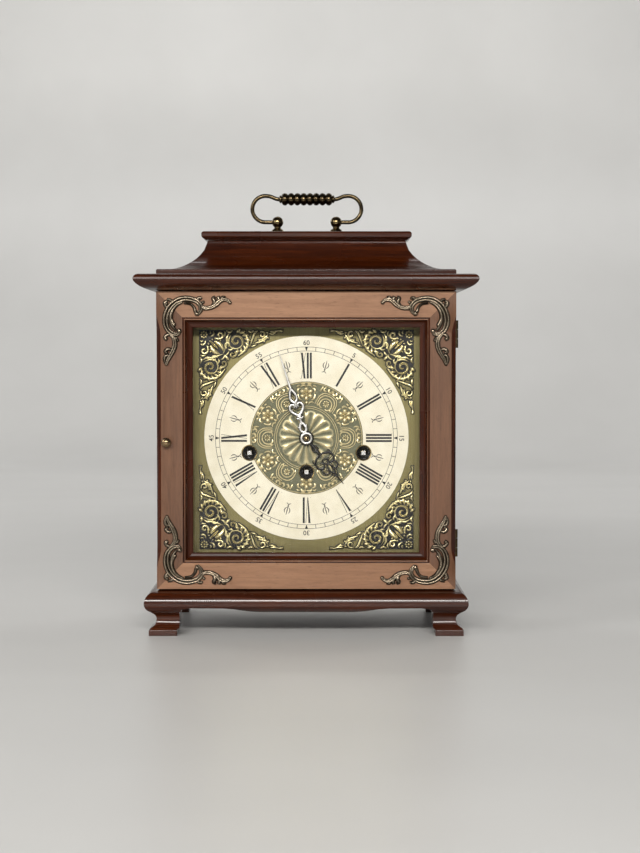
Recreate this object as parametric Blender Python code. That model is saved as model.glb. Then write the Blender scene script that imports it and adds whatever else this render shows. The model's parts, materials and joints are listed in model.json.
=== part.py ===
"""Key-wound chiming bracket clock: mahogany case with a bell top and a bail handle.

Sizes are in millimetres and become metres when a piece is made. +Z is up, the dial
faces -Y and +X is to the right of someone facing it. The origin is on the table,
under the middle of the clock's overall width and depth.
"""
import math

import bmesh
import bpy
from mathutils import Vector

MM = 0.001
GAP = 0.3                       # clearance kept between neighbouring pieces

# Overall case
DOOR_WIDTH = 238.0
DOOR_HEIGHT = 237.0
DOOR_DEPTH = 18.0
DOOR_BOTTOM = 36.8
BODY_DEPTH = 150.0              # door front to case back
CORNICE_OVERHANG = 17.0         # beyond the door, at the front and both sides
HALF = DOOR_WIDTH / 2
FRONT = CORNICE_OVERHANG - (BODY_DEPTH + CORNICE_OVERHANG) / 2
BACK = FRONT + BODY_DEPTH
DOOR_TOP = DOOR_BOTTOM + DOOR_HEIGHT
DOOR_BACK = FRONT + DOOR_DEPTH

# Base and feet
BASE_BOTTOM = 19.0
BASE_TOP = 35.5
BASE_NOSE = 25.9                # height of the widest line of the base moulding
BASE_OVERHANG = 9.85
BASE_RISE = BASE_TOP - BASE_NOSE   # the moulding above its nose
BASE_FALL = 8.15                # its curve below the nose, cut off level at the bottom
FOOT_TOP = BASE_BOTTOM - GAP
FOOT_WIDTH = 18.1               # at the neck
FOOT_FLARE = 6.2                # how far the foot's block stands out past the door

# Cornice and roof
CORNICE_BOTTOM = 274.4
CORNICE_NOSE = 283.0
CORNICE_TOP = 287.2
ROOF_BOTTOM = CORNICE_TOP + GAP
ROOF_STEP_TOP = 291.3
ROOF_TOP = 316.2
ROOF_FOOT = 110.0               # half width where the hollow meets the step
ROOF_NECK = 80.0                # half width under the top plate
TOP_PLATE_HALF = 85.2
TOP_PLATE_TOP = 323.5

# Case panels
PANEL_THICKNESS = 10.0
PANEL_FRONT = DOOR_BACK + 0.5
PANEL_INSIDE = HALF - PANEL_THICKNESS
BACK_DOOR_THICKNESS = 8.0
BACK_PIVOT = (-104.0, BACK - BACK_DOOR_THICKNESS / 2)

# Front door
MEMBER_LIP = 28.7               # outer edge of the door to the sight opening
GLASS_REBATE = 26.0
GLASS_FRONT = 6.5               # behind the door's front face
GLASS_THICKNESS = 2.5
CHAMFER = 3.7
CHAMFER_STOPS = (50.0, 70.0, 239.0, 260.0)
HINGE_AXIS = (HALF + 1.2, DOOR_BACK + 0.25)
HINGE_LENGTH = 22.0
HINGE_STARTS = {"lower": 61.0, "upper": 229.0}
KNUCKLE_RADIUS = 1.7
KNOB_PLACE = (-111.0, 154.0)

# Handle
HANDLE_Y = (FRONT + BACK) / 2
HANDLE_AXIS = 333.3             # height of the ball centres and of the bail's pivot
POST_X = 24.3
BALL_RADIUS = 4.8
WIRE_RADIUS = 1.7
LOOP_RADIUS = 10.9
LOOP_X = 34.4
GRIP_HEIGHT = 352.3
BEADS = 8
BEAD_PITCH = 5.2
BEAD_RADIUS = 5.2

# Dial
DIAL_Z = DOOR_BOTTOM + DOOR_HEIGHT / 2 + 1.0
DIAL_FACE = FRONT + 24.0
DIAL_HALF = 92.6
RING_OUTER = 82.4
RING_INNER = 45.6
WINDING_PLACES = {"time": (0.0, -27.5), "strike": (-46.0, -12.0), "chime": (46.0, -12.0)}
GROMMET_RADIUS = 6.3
MINUTE_LENGTH = 72.7
MINUTE_ANGLE = -17.7            # clockwise from twelve
HOUR_LENGTH = 47.9
HOUR_ANGLE = 141.0

# Movement
FRONT_PLATE = (FRONT + 42.0, FRONT + 44.0)
BACK_PLATE = (FRONT + 78.0, FRONT + 80.0)
PLATE_HALF_WIDTH = 72.0
PLATE_BELOW = 56.0
PLATE_ABOVE = 48.0
PILLARS = [(-66.0, -50.0), (66.0, -50.0), (-66.0, 42.0), (66.0, 42.0)]
INTERMEDIATE = (12.56, -7.05)   # from the hand centre: 24 from the time barrel, 14.4 from the hands
MINUTE_STUD = (-10.392, 6.0)    # 12 from the hand centre
BARREL_MODULE = 0.5
TIME_BARREL_TEETH = 84
SIDE_BARREL_TEETH = 60          # the strike and chime trains end here, so their rims are plainer
BARREL_PITCH_RADIUS = BARREL_MODULE * TIME_BARREL_TEETH / 2
TRAIN_MODULE = 0.4
HOUR_MODULE = 0.48
HAMMER_AXIS = (24.0, 90.0)
HAMMER_X = [20.0, 30.0, 40.0, 50.0]
ROD_Y = [34.0, 41.0, 48.0, 55.0]
ROD_HEIGHT = 78.0
ROD_ENDS = [-18.0, -28.0, -40.0, -52.0]
BALANCE_AXIS = (0.0, 27.5)

# Each finish: colour, roughness, metallic
FINISHES = {
    "mahogany": ((0.11, 0.032, 0.014), 0.28, 0.0),
    "rail_mahogany": ((0.22, 0.105, 0.06), 0.38, 0.0),
    "antique_brass": ((0.20, 0.15, 0.08), 0.35, 1.0),
    "polished_brass": ((0.62, 0.47, 0.20), 0.25, 1.0),
    "dial_brass": ((0.55, 0.47, 0.26), 0.35, 1.0),
    "ivory": ((0.83, 0.79, 0.66), 0.5, 0.0),
    "silvered": ((0.85, 0.84, 0.80), 0.35, 1.0),
    "black_lacquer": ((0.01, 0.01, 0.01), 0.3, 0.0),
    "steel": ((0.45, 0.45, 0.44), 0.3, 1.0),
    "glass": ((0.9, 0.93, 0.92), 0.05, 0.0),
}


def clear_scene():
    for item in list(bpy.data.objects):
        bpy.data.objects.remove(item, do_unlink=True)


def finish_material(name, finish):
    colour, roughness, metallic = FINISHES[finish]
    material = bpy.data.materials.new(name + "_" + finish)
    material.use_nodes = True
    shader = material.node_tree.nodes["Principled BSDF"]
    shader.inputs["Base Color"].default_value = (*colour, 1.0)
    shader.inputs["Roughness"].default_value = roughness
    shader.inputs["Metallic"].default_value = metallic
    if finish == "glass":
        shader.inputs["Transmission Weight"].default_value = 1.0
    return material


def assembly(name, pivot):
    """An empty on a joint's axis, for the pieces that turn about it."""
    empty = bpy.data.objects.new(name, None)
    bpy.context.collection.objects.link(empty)
    empty.location = Vector(pivot) * MM
    return empty


def solid(name, bm, finish, parent=None, smooth=False):
    """Make an object from a mesh drawn in millimetres at its place; its origin is its parent's."""
    bmesh.ops.recalc_face_normals(bm, faces=bm.faces)
    origin = parent.location / MM if parent else Vector()
    for vertex in bm.verts:
        vertex.co = (vertex.co - origin) * MM
    mesh = bpy.data.meshes.new(name)
    bm.to_mesh(mesh)
    bm.free()
    piece = bpy.data.objects.new(name, mesh)
    bpy.context.collection.objects.link(piece)
    piece.parent = parent
    if smooth:
        mesh.shade_smooth()
        mesh.set_sharp_from_angle(angle=math.radians(35))
    mesh.materials.append(finish_material(name, finish))
    return piece


def combine(piece, bm, operation):
    """Join a shape to a piece, or cut it away, with a hidden tool that moves with the piece."""
    number = len(piece.modifiers) + 1
    tool = solid(f"{piece.name}_tool_{number}", bm, "steel", parent=piece.parent)
    tool.hide_render = True
    tool.display_type = "WIRE"
    modifier = piece.modifiers.new(f"{operation.title()}_{number}", "BOOLEAN")
    modifier.operation = operation
    modifier.solver = "EXACT"
    modifier.object = tool


def join(piece, bm):
    combine(piece, bm, "UNION")


def cut(piece, bm):
    combine(piece, bm, "DIFFERENCE")


def place(axis, a, b, along):
    """A point from two coordinates across an axis and one along it."""
    return {"X": (along, a, b), "Y": (a, along, b), "Z": (a, b, along)}[axis]


def bridge(bm, first, second):
    """Faces between two rings, either of which may be a single point."""
    count = max(len(first), len(second))
    for index in range(count):
        after = (index + 1) % count
        corners = [first[index % len(first)], first[after % len(first)]]
        corners += [second[after % len(second)], second[index % len(second)]]
        bm.faces.new(list(dict.fromkeys(corners)))


def stacked(rings, closed=False):
    """A solid through rings of points, capped at both ends or closed on itself."""
    bm = bmesh.new()
    loops = [[bm.verts.new(point) for point in ring] for ring in rings]
    for first, second in zip(loops, loops[1:]):
        bridge(bm, first, second)
    if closed:
        bridge(bm, loops[-1], loops[0])
    else:
        for loop in (loops[0], loops[-1]):
            if len(loop) > 2:
                bm.faces.new(loop)
    return bm


def box(low, high):
    corners = [(low[0], low[1]), (high[0], low[1]), (high[0], high[1]), (low[0], high[1])]
    return extruded(corners, "Z", low[2], high[2])


def extruded(outline, axis, start, end):
    """A prism on an outline of points across the axis."""
    return stacked([[place(axis, a, b, along) for a, b in outline] for along in (start, end)])


def circle(centre, radius, steps):
    turn = 2 * math.pi / steps
    return [(centre[0] + radius * math.cos(turn * step), centre[1] + radius * math.sin(turn * step))
            for step in range(steps)]


def turned(profile, axis, centre, steps=24, closed=False):
    """A turned solid from (radius, along) points; a closed profile leaves a bore."""
    rings = []
    for radius, along in profile:
        around = circle(centre, radius, steps) if radius > 0 else [centre]
        rings.append([place(axis, a, b, along) for a, b in around])
    return stacked(rings, closed)


def rod(axis, centre, radius, start, end, steps=16):
    return turned([(radius, start), (radius, end)], axis, centre, steps)


def swept(path, normal, sides):
    """A round bar along a flat path of (point, radius); normal is square to the path's plane."""
    points = [Vector(point) for point, _ in path]
    across = Vector(normal)
    rings = []
    for index, (_, radius) in enumerate(path):
        before = points[max(index - 1, 0)]
        after = points[min(index + 1, len(points) - 1)]
        up = across.cross((after - before).normalized())
        ring = []
        for side in range(sides):
            angle = 2 * math.pi * side / sides
            ring.append(points[index] + radius * (math.cos(angle) * across + math.sin(angle) * up))
        rings.append(ring)
    return stacked(rings)


def toothed(teeth, module, centre, start, end, tooth_at=0.0):
    """A spur wheel on the Y axis, with pointed teeth cut shallow enough to leave backlash."""
    pitch = teeth * module / 2
    outline = []
    for step in range(2 * teeth):
        radius = pitch + 0.42 * module if step % 2 == 0 else pitch - 1.0 * module
        angle = tooth_at + math.pi * step / teeth
        outline.append((centre[0] + radius * math.cos(angle), centre[1] + radius * math.sin(angle)))
    return extruded(outline, "Y", start, end)


def at_dial(place_on_dial):
    """Dial coordinates, from the hand centre, as X and Z in the clock."""
    return place_on_dial[0], DIAL_Z + place_on_dial[1]


def rectangle_level(z, offset, back=BACK):
    """A case outline at one height, standing offset beyond the door at the front and sides."""
    half = HALF + offset
    return [(-half, FRONT - offset, z), (half, FRONT - offset, z), (half, back, z), (-half, back, z)]


# ---- Case ----

def base_offset(z):
    reach = BASE_RISE if z > BASE_NOSE else BASE_FALL
    return BASE_OVERHANG * math.sqrt(max(0.0, 1 - ((z - BASE_NOSE) / reach) ** 2))


def make_base():
    lowest = math.asin((BASE_BOTTOM - BASE_NOSE) / BASE_FALL)
    levels = []
    for step in range(11):
        angle = lowest + (math.pi / 2 - lowest) * step / 10
        z = BASE_NOSE + math.sin(angle) * (BASE_RISE if angle > 0 else BASE_FALL)
        levels.append(rectangle_level(z, base_offset(z)))
    base = solid("base_moulding", stacked(levels), "mahogany", smooth=True)
    crest = [(99.5, 18.0), (99.5, 20.6), (97.0, 21.9), (91.0, 22.5), (66.0, 22.3), (58.0, 21.7),
             (50.0, 20.4), (43.0, 19.4), (36.0, 18.9), (36.0, 18.0)]
    for side in (-1, 1):
        cut(base, extruded([(side * x, z) for x, z in crest], "Y", FRONT - 20, BACK + 10))
    pivot_socket = rod("Z", BACK_PIVOT, 1.8, BASE_TOP - 5, BASE_TOP + 5)
    cut(base, pivot_socket)


def make_feet():
    """Bracket feet: a square block, a hollow neck and a flare up to the base."""
    profile = [(0.0, FOOT_FLARE), (4.6, FOOT_FLARE), (5.2, FOOT_FLARE - 0.6), (6.0, 5.2), (6.9, 3.7),
               (8.1, 2.0), (9.6, 0.9), (12.8, 0.4), (14.6, 0.7), (16.2, 1.6), (17.5, 3.0),
               (FOOT_TOP, 4.9)]
    for side, side_name in ((-1, "left"), (1, "right")):
        for end_name in ("front", "rear"):
            rings = []
            for z, flare in profile:
                inner = side * (HALF - FOOT_WIDTH + (1.8 if z < 6.0 else 0.0))
                outer = side * (HALF + flare)
                if end_name == "front":
                    near, far = FRONT - flare, FRONT + FOOT_WIDTH
                else:
                    near, far = BACK - FOOT_WIDTH, BACK
                rings.append([(inner, near, z), (outer, near, z), (outer, far, z), (inner, far, z)])
            solid(f"foot_{end_name}_{side_name}", stacked(rings), "mahogany", smooth=True)


def hinge_mortise(start, y_low, y_high):
    low = (110.2, y_low, start - GAP)
    high = (HALF + 1.0, y_high, start + HINGE_LENGTH + GAP)
    return box(low, high)


def make_panels():
    for side, name in ((-1, "side_panel_left"), (1, "side_panel_right")):
        edges = sorted((side * PANEL_INSIDE, side * HALF))
        low = (edges[0], PANEL_FRONT, BASE_TOP + GAP)
        high = (edges[1], BACK, CORNICE_BOTTOM - GAP)
        panel = solid(name, box(low, high), "mahogany")
        if side > 0:
            for start in HINGE_STARTS.values():
                cut(panel, hinge_mortise(start, PANEL_FRONT - 1, DOOR_BACK + 2.4))


def make_cornice():
    levels = []
    for step in range(7):
        out = math.sin(math.pi / 2 * step / 6)
        drop = (1 - out ** 1.7) ** (1 / 1.7)
        z = CORNICE_NOSE - (CORNICE_NOSE - CORNICE_BOTTOM) * drop
        levels.append(rectangle_level(z, 1.0 + (CORNICE_OVERHANG - 1.0) * out))
    for rise, inset in ((1.4, 0.15), (2.7, 0.9), (3.7, 2.3), (4.2, 4.2)):
        levels.append(rectangle_level(CORNICE_NOSE + rise, CORNICE_OVERHANG - inset))
    cornice = solid("cornice", stacked(levels), "mahogany", smooth=True)
    cut(cornice, rod("Z", BACK_PIVOT, 1.8, CORNICE_BOTTOM - 5, CORNICE_BOTTOM + 5))


def roof_level(z, half_width):
    """A roof outline that keeps the same margin on all four sides."""
    half_depth = BODY_DEPTH / 2 - (HALF - half_width)
    corners = [(-1, -1), (1, -1), (1, 1), (-1, 1)]
    return [(x * half_width, HANDLE_Y + y * half_depth, z) for x, y in corners]


def make_roof():
    levels = [roof_level(ROOF_BOTTOM, HALF), roof_level(ROOF_STEP_TOP - 0.6, HALF)]
    levels.append(roof_level(ROOF_STEP_TOP, HALF - 0.8))
    for step in range(11):
        inward = step / 10
        rise = 1 - (1 - inward ** 1.65) ** (1 / 1.65)
        z = ROOF_STEP_TOP + 0.3 + (ROOF_TOP - ROOF_STEP_TOP - 0.3) * rise
        levels.append(roof_level(z, ROOF_FOOT + (ROOF_NECK - ROOF_FOOT) * inward))
    solid("roof_cove", stacked(levels), "mahogany", smooth=True)
    edge = [(0.0, -3.2), (0.8, -2.6), (1.5, -1.3), (2.2, -0.3), (3.4, 0.0), (5.2, 0.0), (6.3, -0.5),
            (6.9, -1.5)]
    bottom = ROOF_TOP + GAP
    levels = [roof_level(bottom + rise, TOP_PLATE_HALF + out) for rise, out in edge]
    levels.append(roof_level(TOP_PLATE_TOP, TOP_PLATE_HALF - 2.6))
    solid("top_plate", stacked(levels), "mahogany", smooth=True)


def make_back_door():
    x, y = BACK_PIVOT
    radius = BACK_DOOR_THICKNESS / 2
    outline = []
    for step in range(9):
        angle = math.pi / 2 + math.pi * step / 8
        outline.append((x + radius * math.cos(angle), y + radius * math.sin(angle)))
    outline += [(PANEL_INSIDE - 0.5, y - radius), (PANEL_INSIDE - 0.5, y + radius)]
    swing = assembly("back_door_pivot", (x, y, 0.0))
    bottom, top = BASE_TOP + 0.4, CORNICE_BOTTOM - 0.4
    door = solid("back_door", extruded(outline, "Z", bottom, top), "mahogany", parent=swing)
    join(door, rod("Z", BACK_PIVOT, 1.5, bottom - 4, bottom + 4))
    join(door, rod("Z", BACK_PIVOT, 1.5, top - 4, top + 4))
    for slot in range(-4, 5):
        middle = slot * 14.0
        cut(door, box((middle - 2.5, y - 10, 180.0), (middle + 2.5, y + 10, 240.0)))


# ---- Front door ----

def member_profile():
    """Door section from the outer edge (0) inwards: flat face, bead, hollow, lip and glass rebate."""
    return [(0.0, 0.0), (20.8, 0.0), (20.8, 0.9), (21.4, 0.9), (21.7, 0.3), (22.35, 0.0), (23.0, 0.3),
            (23.3, 1.2), (23.9, 2.6), (25.0, 3.7), (26.4, 4.2), (27.6, 4.5), (MEMBER_LIP, 5.3),
            (MEMBER_LIP, GLASS_FRONT - GAP), (GLASS_REBATE, GLASS_FRONT - GAP),
            (GLASS_REBATE, DOOR_DEPTH), (0.0, DOOR_DEPTH)]


def door_member(name, swing, length, to_world):
    """One mitred side of the door frame; to_world puts (along, inward, depth) in the clock."""
    rings = []
    for end in (-1, 1):
        ring = [to_world(end * (length / 2 - inward - 0.2), inward, depth)
                for inward, depth in member_profile()]
        rings.append(ring)
    return solid(name, stacked(rings), "rail_mahogany", parent=swing)


def stile_chamfer(side):
    """Cutter for the stopped chamfer down a stile's outer edge, fading out in an S at each end."""
    first, full_from, full_to, last = CHAMFER_STOPS
    rings = []
    for start, end, rising in ((first, full_from, True), (full_to, last, False)):
        for step in range(7):
            part = step / 6
            depth = (1 - math.cos(math.pi * (part if rising else 1 - part))) / 2
            width = CHAMFER * depth - 0.3 * (1 - depth)
            z = start + (end - start) * part
            outside = (side * (HALF + 2), FRONT - 2, z)
            across = (side * (HALF - width - 2), FRONT - 2, z)
            along = (side * (HALF + 2), FRONT + width + 2, z)
            rings.append([outside, across, along])
    return stacked(rings)


def make_hinge(level, start, swing):
    """A butt hinge: the case leaf carries the pin, the door leaf turns on it."""
    first, second = start + 7.0, start + 15.0
    end = start + HINGE_LENGTH
    thickness = 1.2
    pin = [(0.0, start), (KNUCKLE_RADIUS, start), (KNUCKLE_RADIUS, first), (0.8, first),
           (0.8, second), (KNUCKLE_RADIUS, second), (KNUCKLE_RADIUS, end), (0.0, end)]
    case_leaf = solid(f"hinge_{level}_case_leaf", turned(pin, "Z", HINGE_AXIS, 12),
                      "antique_brass", smooth=True)
    reach = HINGE_AXIS[0]
    plate = [(110.5, start), (reach, start), (reach, first), (118.0, first), (118.0, second),
             (reach, second), (reach, end), (110.5, end)]
    join(case_leaf, extruded(plate, "Y", DOOR_BACK + 0.6, DOOR_BACK + 0.6 + thickness))
    low, high = first + GAP, second - GAP
    knuckle = [(KNUCKLE_RADIUS, low), (KNUCKLE_RADIUS, high), (1.1, high), (1.1, low)]
    door_leaf = solid(f"hinge_{level}_door_leaf", turned(knuckle, "Z", HINGE_AXIS, 12, closed=True),
                      "antique_brass", parent=swing, smooth=True)
    plate = [(110.5, start), (118.0, start), (118.0, low), (119.0, low), (119.0, high),
             (118.0, high), (118.0, end), (110.5, end)]
    join(door_leaf, extruded(plate, "Y", DOOR_BACK - GAP - thickness, DOOR_BACK - GAP))


def make_corner_mounts(swing):
    """Applied scroll castings: a C round the corner, with a leaf tail along the rail and the stile."""
    route = [(58.0, 8.6, 0.7), (54.5, 6.4, 1.2), (50.5, 7.8, 1.9), (46.0, 11.0, 1.5),
             (40.8, 12.4, 1.1), (36.6, 11.4, 1.4), (32.5, 8.6, 1.6), (26.5, 6.0, 1.7),
             (19.5, 5.8, 1.8), (13.0, 9.2, 1.9), (8.6, 15.0, 2.1), (7.0, 22.0, 2.1),
             (8.2, 29.0, 1.9), (11.4, 35.0, 1.6), (13.8, 40.5, 1.7), (13.2, 46.0, 1.6),
             (10.2, 51.5, 1.2), (8.0, 57.0, 0.7)]
    for side, side_name in ((-1, "left"), (1, "right")):
        for end_name in ("upper", "lower"):
            path = []
            for from_side, from_end, radius in route:
                z = DOOR_TOP - from_end if end_name == "upper" else DOOR_BOTTOM + from_end
                path.append(((side * (HALF - from_side), FRONT - GAP - radius, z), radius))
            solid(f"corner_mount_{end_name}_{side_name}", swept(path, (0, 1, 0), 6),
                  "antique_brass", parent=swing, smooth=True)


def make_front_door():
    swing = assembly("front_door_pivot", (*HINGE_AXIS, 0.0))
    middle = (DOOR_BOTTOM + DOOR_TOP) / 2
    door_member("door_rail_bottom", swing, DOOR_WIDTH,
                lambda along, inward, depth: (along, FRONT + depth, DOOR_BOTTOM + inward))
    door_member("door_rail_top", swing, DOOR_WIDTH,
                lambda along, inward, depth: (along, FRONT + depth, DOOR_TOP - inward))
    left = door_member("door_stile_left", swing, DOOR_HEIGHT,
                       lambda along, inward, depth: (inward - HALF, FRONT + depth, middle + along))
    right = door_member("door_stile_right", swing, DOOR_HEIGHT,
                        lambda along, inward, depth: (HALF - inward, FRONT + depth, middle + along))
    cut(left, stile_chamfer(-1))
    cut(right, stile_chamfer(1))
    for level, start in HINGE_STARTS.items():
        cut(right, hinge_mortise(start, DOOR_BACK - 1.9, DOOR_BACK + 1.0))
        make_hinge(level, start, swing)
    pane = GLASS_REBATE + GAP
    low = (pane - HALF, FRONT + GLASS_FRONT, DOOR_BOTTOM + pane)
    high = (HALF - pane, FRONT + GLASS_FRONT + GLASS_THICKNESS, DOOR_TOP - pane)
    solid("door_glass", box(low, high), "glass", parent=swing)
    face = FRONT - GAP
    knob = [(0.0, face), (2.4, face), (2.1, face - 1.6), (3.2, face - 2.6), (4.0, face - 4.2),
            (3.7, face - 5.6), (2.4, face - 6.8), (0.0, face - 7.2)]
    solid("door_knob", turned(knob, "Y", KNOB_PLACE, 12), "polished_brass", parent=swing, smooth=True)
    make_corner_mounts(swing)


# ---- Handle ----

def bail_path():
    """Wire and turned grip, from the left pivot pin to the right one."""
    half = [((POST_X - 3.0, HANDLE_AXIS), WIRE_RADIUS), ((29.5, HANDLE_AXIS), WIRE_RADIUS)]
    centre = HANDLE_AXIS + LOOP_RADIUS
    for step in range(11):
        angle = math.radians(-90 + 190 * step / 10)
        point = (LOOP_X + LOOP_RADIUS * math.cos(angle), centre + LOOP_RADIUS * math.sin(angle))
        half.append((point, WIRE_RADIUS))
    half += [((29.0, 353.9), WIRE_RADIUS), ((25.8, 352.7), WIRE_RADIUS), ((23.2, 352.3), WIRE_RADIUS)]
    grip_half = BEADS * BEAD_PITCH / 2
    half += [((grip_half + 1.6, GRIP_HEIGHT), 2.0), ((grip_half + 1.2, GRIP_HEIGHT), 3.0),
             ((grip_half + 0.5, GRIP_HEIGHT), 3.1)]
    right = [((x, HANDLE_Y, z), radius) for (x, z), radius in half]
    left = [((-x, HANDLE_Y, z), radius) for (x, z), radius in half]
    grip = []
    for bead in range(BEADS):
        start = bead * BEAD_PITCH - grip_half
        for part, radius in ((0.0, 3.5), (0.2, 4.75), (0.5, BEAD_RADIUS), (0.8, 4.75)):
            grip.append(((start + part * BEAD_PITCH, HANDLE_Y, GRIP_HEIGHT), radius))
    grip.append(((grip_half, HANDLE_Y, GRIP_HEIGHT), 3.5))
    return left + grip + right[::-1]


def make_handle():
    profile = [(0.0, HANDLE_AXIS + BALL_RADIUS)]
    for step in range(1, 6):
        angle = math.radians(90 - 27 * step)
        profile.append((BALL_RADIUS * math.cos(angle), HANDLE_AXIS + BALL_RADIUS * math.sin(angle)))
    foot = TOP_PLATE_TOP + GAP
    profile += [(2.3, foot + 4.2), (3.0, foot + 2.9), (4.6, foot + 1.8), (5.2, foot + 0.9),
                (5.2, foot), (0.0, foot)]
    for side, name in ((-1, "handle_post_left"), (1, "handle_post_right")):
        post = solid(name, turned(profile, "Z", (side * POST_X, HANDLE_Y), 12), "antique_brass",
                     smooth=True)
        start = side * (POST_X - 3.4)
        cut(post, rod("X", (HANDLE_Y, HANDLE_AXIS), WIRE_RADIUS + GAP, start, side * (POST_X + 8)))
    swing = assembly("handle_pivot", (0.0, HANDLE_Y, HANDLE_AXIS))
    solid("handle_bail", swept(bail_path(), (0, 1, 0), 8), "antique_brass", parent=swing,
          smooth=True)


# ---- Dial ----

def make_mask():
    low, high = DIAL_FACE - 4.8, DIAL_FACE + 2.2
    bottom, top = BASE_TOP + 0.5, CORNICE_BOTTOM - 0.5
    outer = PANEL_INSIDE - 0.4
    hole = DIAL_HALF + 0.4
    mask = solid("dial_mask", box((-outer, low, bottom), (outer, high, top)), "mahogany")
    cut(mask, box((-hole, low - 5, DIAL_Z - hole), (hole, high + 5, DIAL_Z + hole)))


def winding_holes(piece, radius, names=("time", "strike", "chime")):
    for name in names:
        cut(piece, rod("Y", at_dial(WINDING_PLACES[name]), radius, DIAL_FACE - 9, FRONT + 90, 20))


def make_dial():
    centre = at_dial((0.0, 0.0))
    low = (-DIAL_HALF, DIAL_FACE, DIAL_Z - DIAL_HALF)
    high = (DIAL_HALF, DIAL_FACE + 1.0, DIAL_Z + DIAL_HALF)
    plate = solid("dial_plate", box(low, high), "dial_brass")
    for x, z in PILLARS:
        foot = rod("Y", at_dial((x * 0.9, z * 0.8)), 2.0, DIAL_FACE + 0.5, FRONT_PLATE[0] - GAP, 10)
        join(plate, foot)
    cut(plate, rod("Y", centre, 3.6, DIAL_FACE - 5, DIAL_FACE + 5))
    winding_holes(plate, 5.9)
    back = DIAL_FACE - GAP
    profile = [(RING_INNER, back), (RING_OUTER, back), (RING_OUTER, back - 0.8),
               (RING_INNER, back - 0.8)]
    ring = solid("chapter_ring", turned(profile, "Y", centre, 96, closed=True), "ivory", smooth=True)
    winding_holes(ring, GROMMET_RADIUS + GAP, ("strike", "chime"))
    rim = RING_INNER - 0.4
    profile = [(3.6, back), (rim, back), (rim, back - 0.6), (3.6, back - 0.6)]
    disc = solid("centre_disc", turned(profile, "Y", centre, 72, closed=True), "dial_brass",
                 smooth=True)
    winding_holes(disc, GROMMET_RADIUS + GAP)


def make_grommets_and_arbors():
    back = DIAL_FACE + 1.3
    face = DIAL_FACE - GAP
    sleeve = [(5.0, back), (5.6, back), (5.6, face), (GROMMET_RADIUS, face),
              (GROMMET_RADIUS, face - 1.1), (5.6, face - 1.6), (5.0, face - 1.2)]
    for name, spot in WINDING_PLACES.items():
        centre = at_dial(spot)
        solid(f"winding_grommet_{name}", turned(sleeve, "Y", centre, 16, closed=True),
              "polished_brass", smooth=True)
        turns = assembly(f"winding_arbor_pivot_{name}", (centre[0], 0.0, centre[1]))
        shaft = [(0.0, BACK_PLATE[1] + 1), (2.0, BACK_PLATE[1] + 1), (2.0, BACK_PLATE[0] - 1),
                 (3.0, BACK_PLATE[0] - 1), (3.0, FRONT_PLATE[0] - 2), (0.0, FRONT_PLATE[0] - 2)]
        arbor = solid(f"winding_arbor_{name}", turned(shaft, "Y", centre, 16), "steel",
                      parent=turns, smooth=True)
        tip = DIAL_FACE - 2.5
        square = []
        for half, y in ((2.1, FRONT_PLATE[0] + 1), (2.1, tip + 0.6), (1.6, tip)):
            corners = [(-half, -half), (half, -half), (half, half), (-half, half)]
            square.append([(centre[0] + a, y, centre[1] + b) for a, b in corners])
        join(arbor, stacked(square))


def make_spandrels():
    """Corner plates of the dial, hollowed to follow the chapter ring."""
    leg = 68.0
    corner = DIAL_HALF - 3.6
    reach = RING_OUTER + 2.6
    first, last = math.radians(17), math.radians(73)
    arc = [(reach * math.cos(angle), reach * math.sin(angle))
           for angle in (first + (last - first) * step / 12 for step in range(13))]
    outline = [(corner, corner - leg), *arc, (corner - leg, corner), (corner, corner)]
    front = DIAL_FACE - GAP
    for side, side_name in ((-1, "left"), (1, "right")):
        for end_sign, end_name in ((1, "upper"), (-1, "lower")):
            shape = [at_dial((side * x, end_sign * z)) for x, z in outline]
            solid(f"spandrel_{end_name}_{side_name}", extruded(shape, "Y", front - 1.0, front),
                  "polished_brass")


def hand_outline(widths, angle):
    """A hand's silhouette from (distance, half width) pairs, turned clockwise from twelve."""
    turn = math.radians(angle)
    points = [(half, along) for along, half in widths] + [(-half, along) for along, half in widths[::-1]]
    return [at_dial((x * math.cos(turn) + z * math.sin(turn), z * math.cos(turn) - x * math.sin(turn)))
            for x, z in points]


def make_hands(minute_pivot, hour_pivot):
    centre = at_dial((0.0, 0.0))
    back = DIAL_FACE - 3.5
    widths = [(3.0, 2.4), (7.0, 1.6), (12.0, 1.4), (16.0, 3.2), (21.0, 8.4), (28.0, 8.6), (33.0, 5.4),
              (37.0, 1.4), (HOUR_LENGTH, 0.3)]
    hand = solid("hour_hand", extruded(hand_outline(widths, HOUR_ANGLE), "Y", back - 0.6, back),
                 "black_lacquer", parent=hour_pivot)
    join(hand, rod("Y", centre, 6.0, back - 0.6, back, 20))
    cut(hand, rod("Y", centre, 2.9, back - 5, back + 5))
    back = DIAL_FACE - 6.1
    widths = [(3.0, 1.8), (5.5, 1.5), (9.0, 2.6), (12.0, 1.4), (17.5, 2.4), (19.0, 1.4), (23.0, 4.0),
              (27.0, 5.75), (29.8, 4.0), (31.0, 1.4), (35.0, 2.6), (41.0, 1.4), (50.0, 0.8),
              (MINUTE_LENGTH, 0.3)]
    outline = hand_outline(widths, MINUTE_ANGLE)
    hand = solid("minute_hand", extruded(outline, "Y", back - 0.6, back), "silvered",
                 parent=minute_pivot)
    join(hand, rod("Y", centre, 4.9, back - 0.6, back, 20))
    cut(hand, rod("Y", centre, 1.8, back - 5, back + 5))
    face = back - 0.9
    profile = [(1.8, face), (3.0, face), (3.0, face - 0.7), (2.5, face - 1.3), (1.8, face - 1.3)]
    solid("hand_nut", turned(profile, "Y", centre, 16, closed=True), "polished_brass",
          parent=minute_pivot, smooth=True)


# ---- Movement ----

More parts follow.
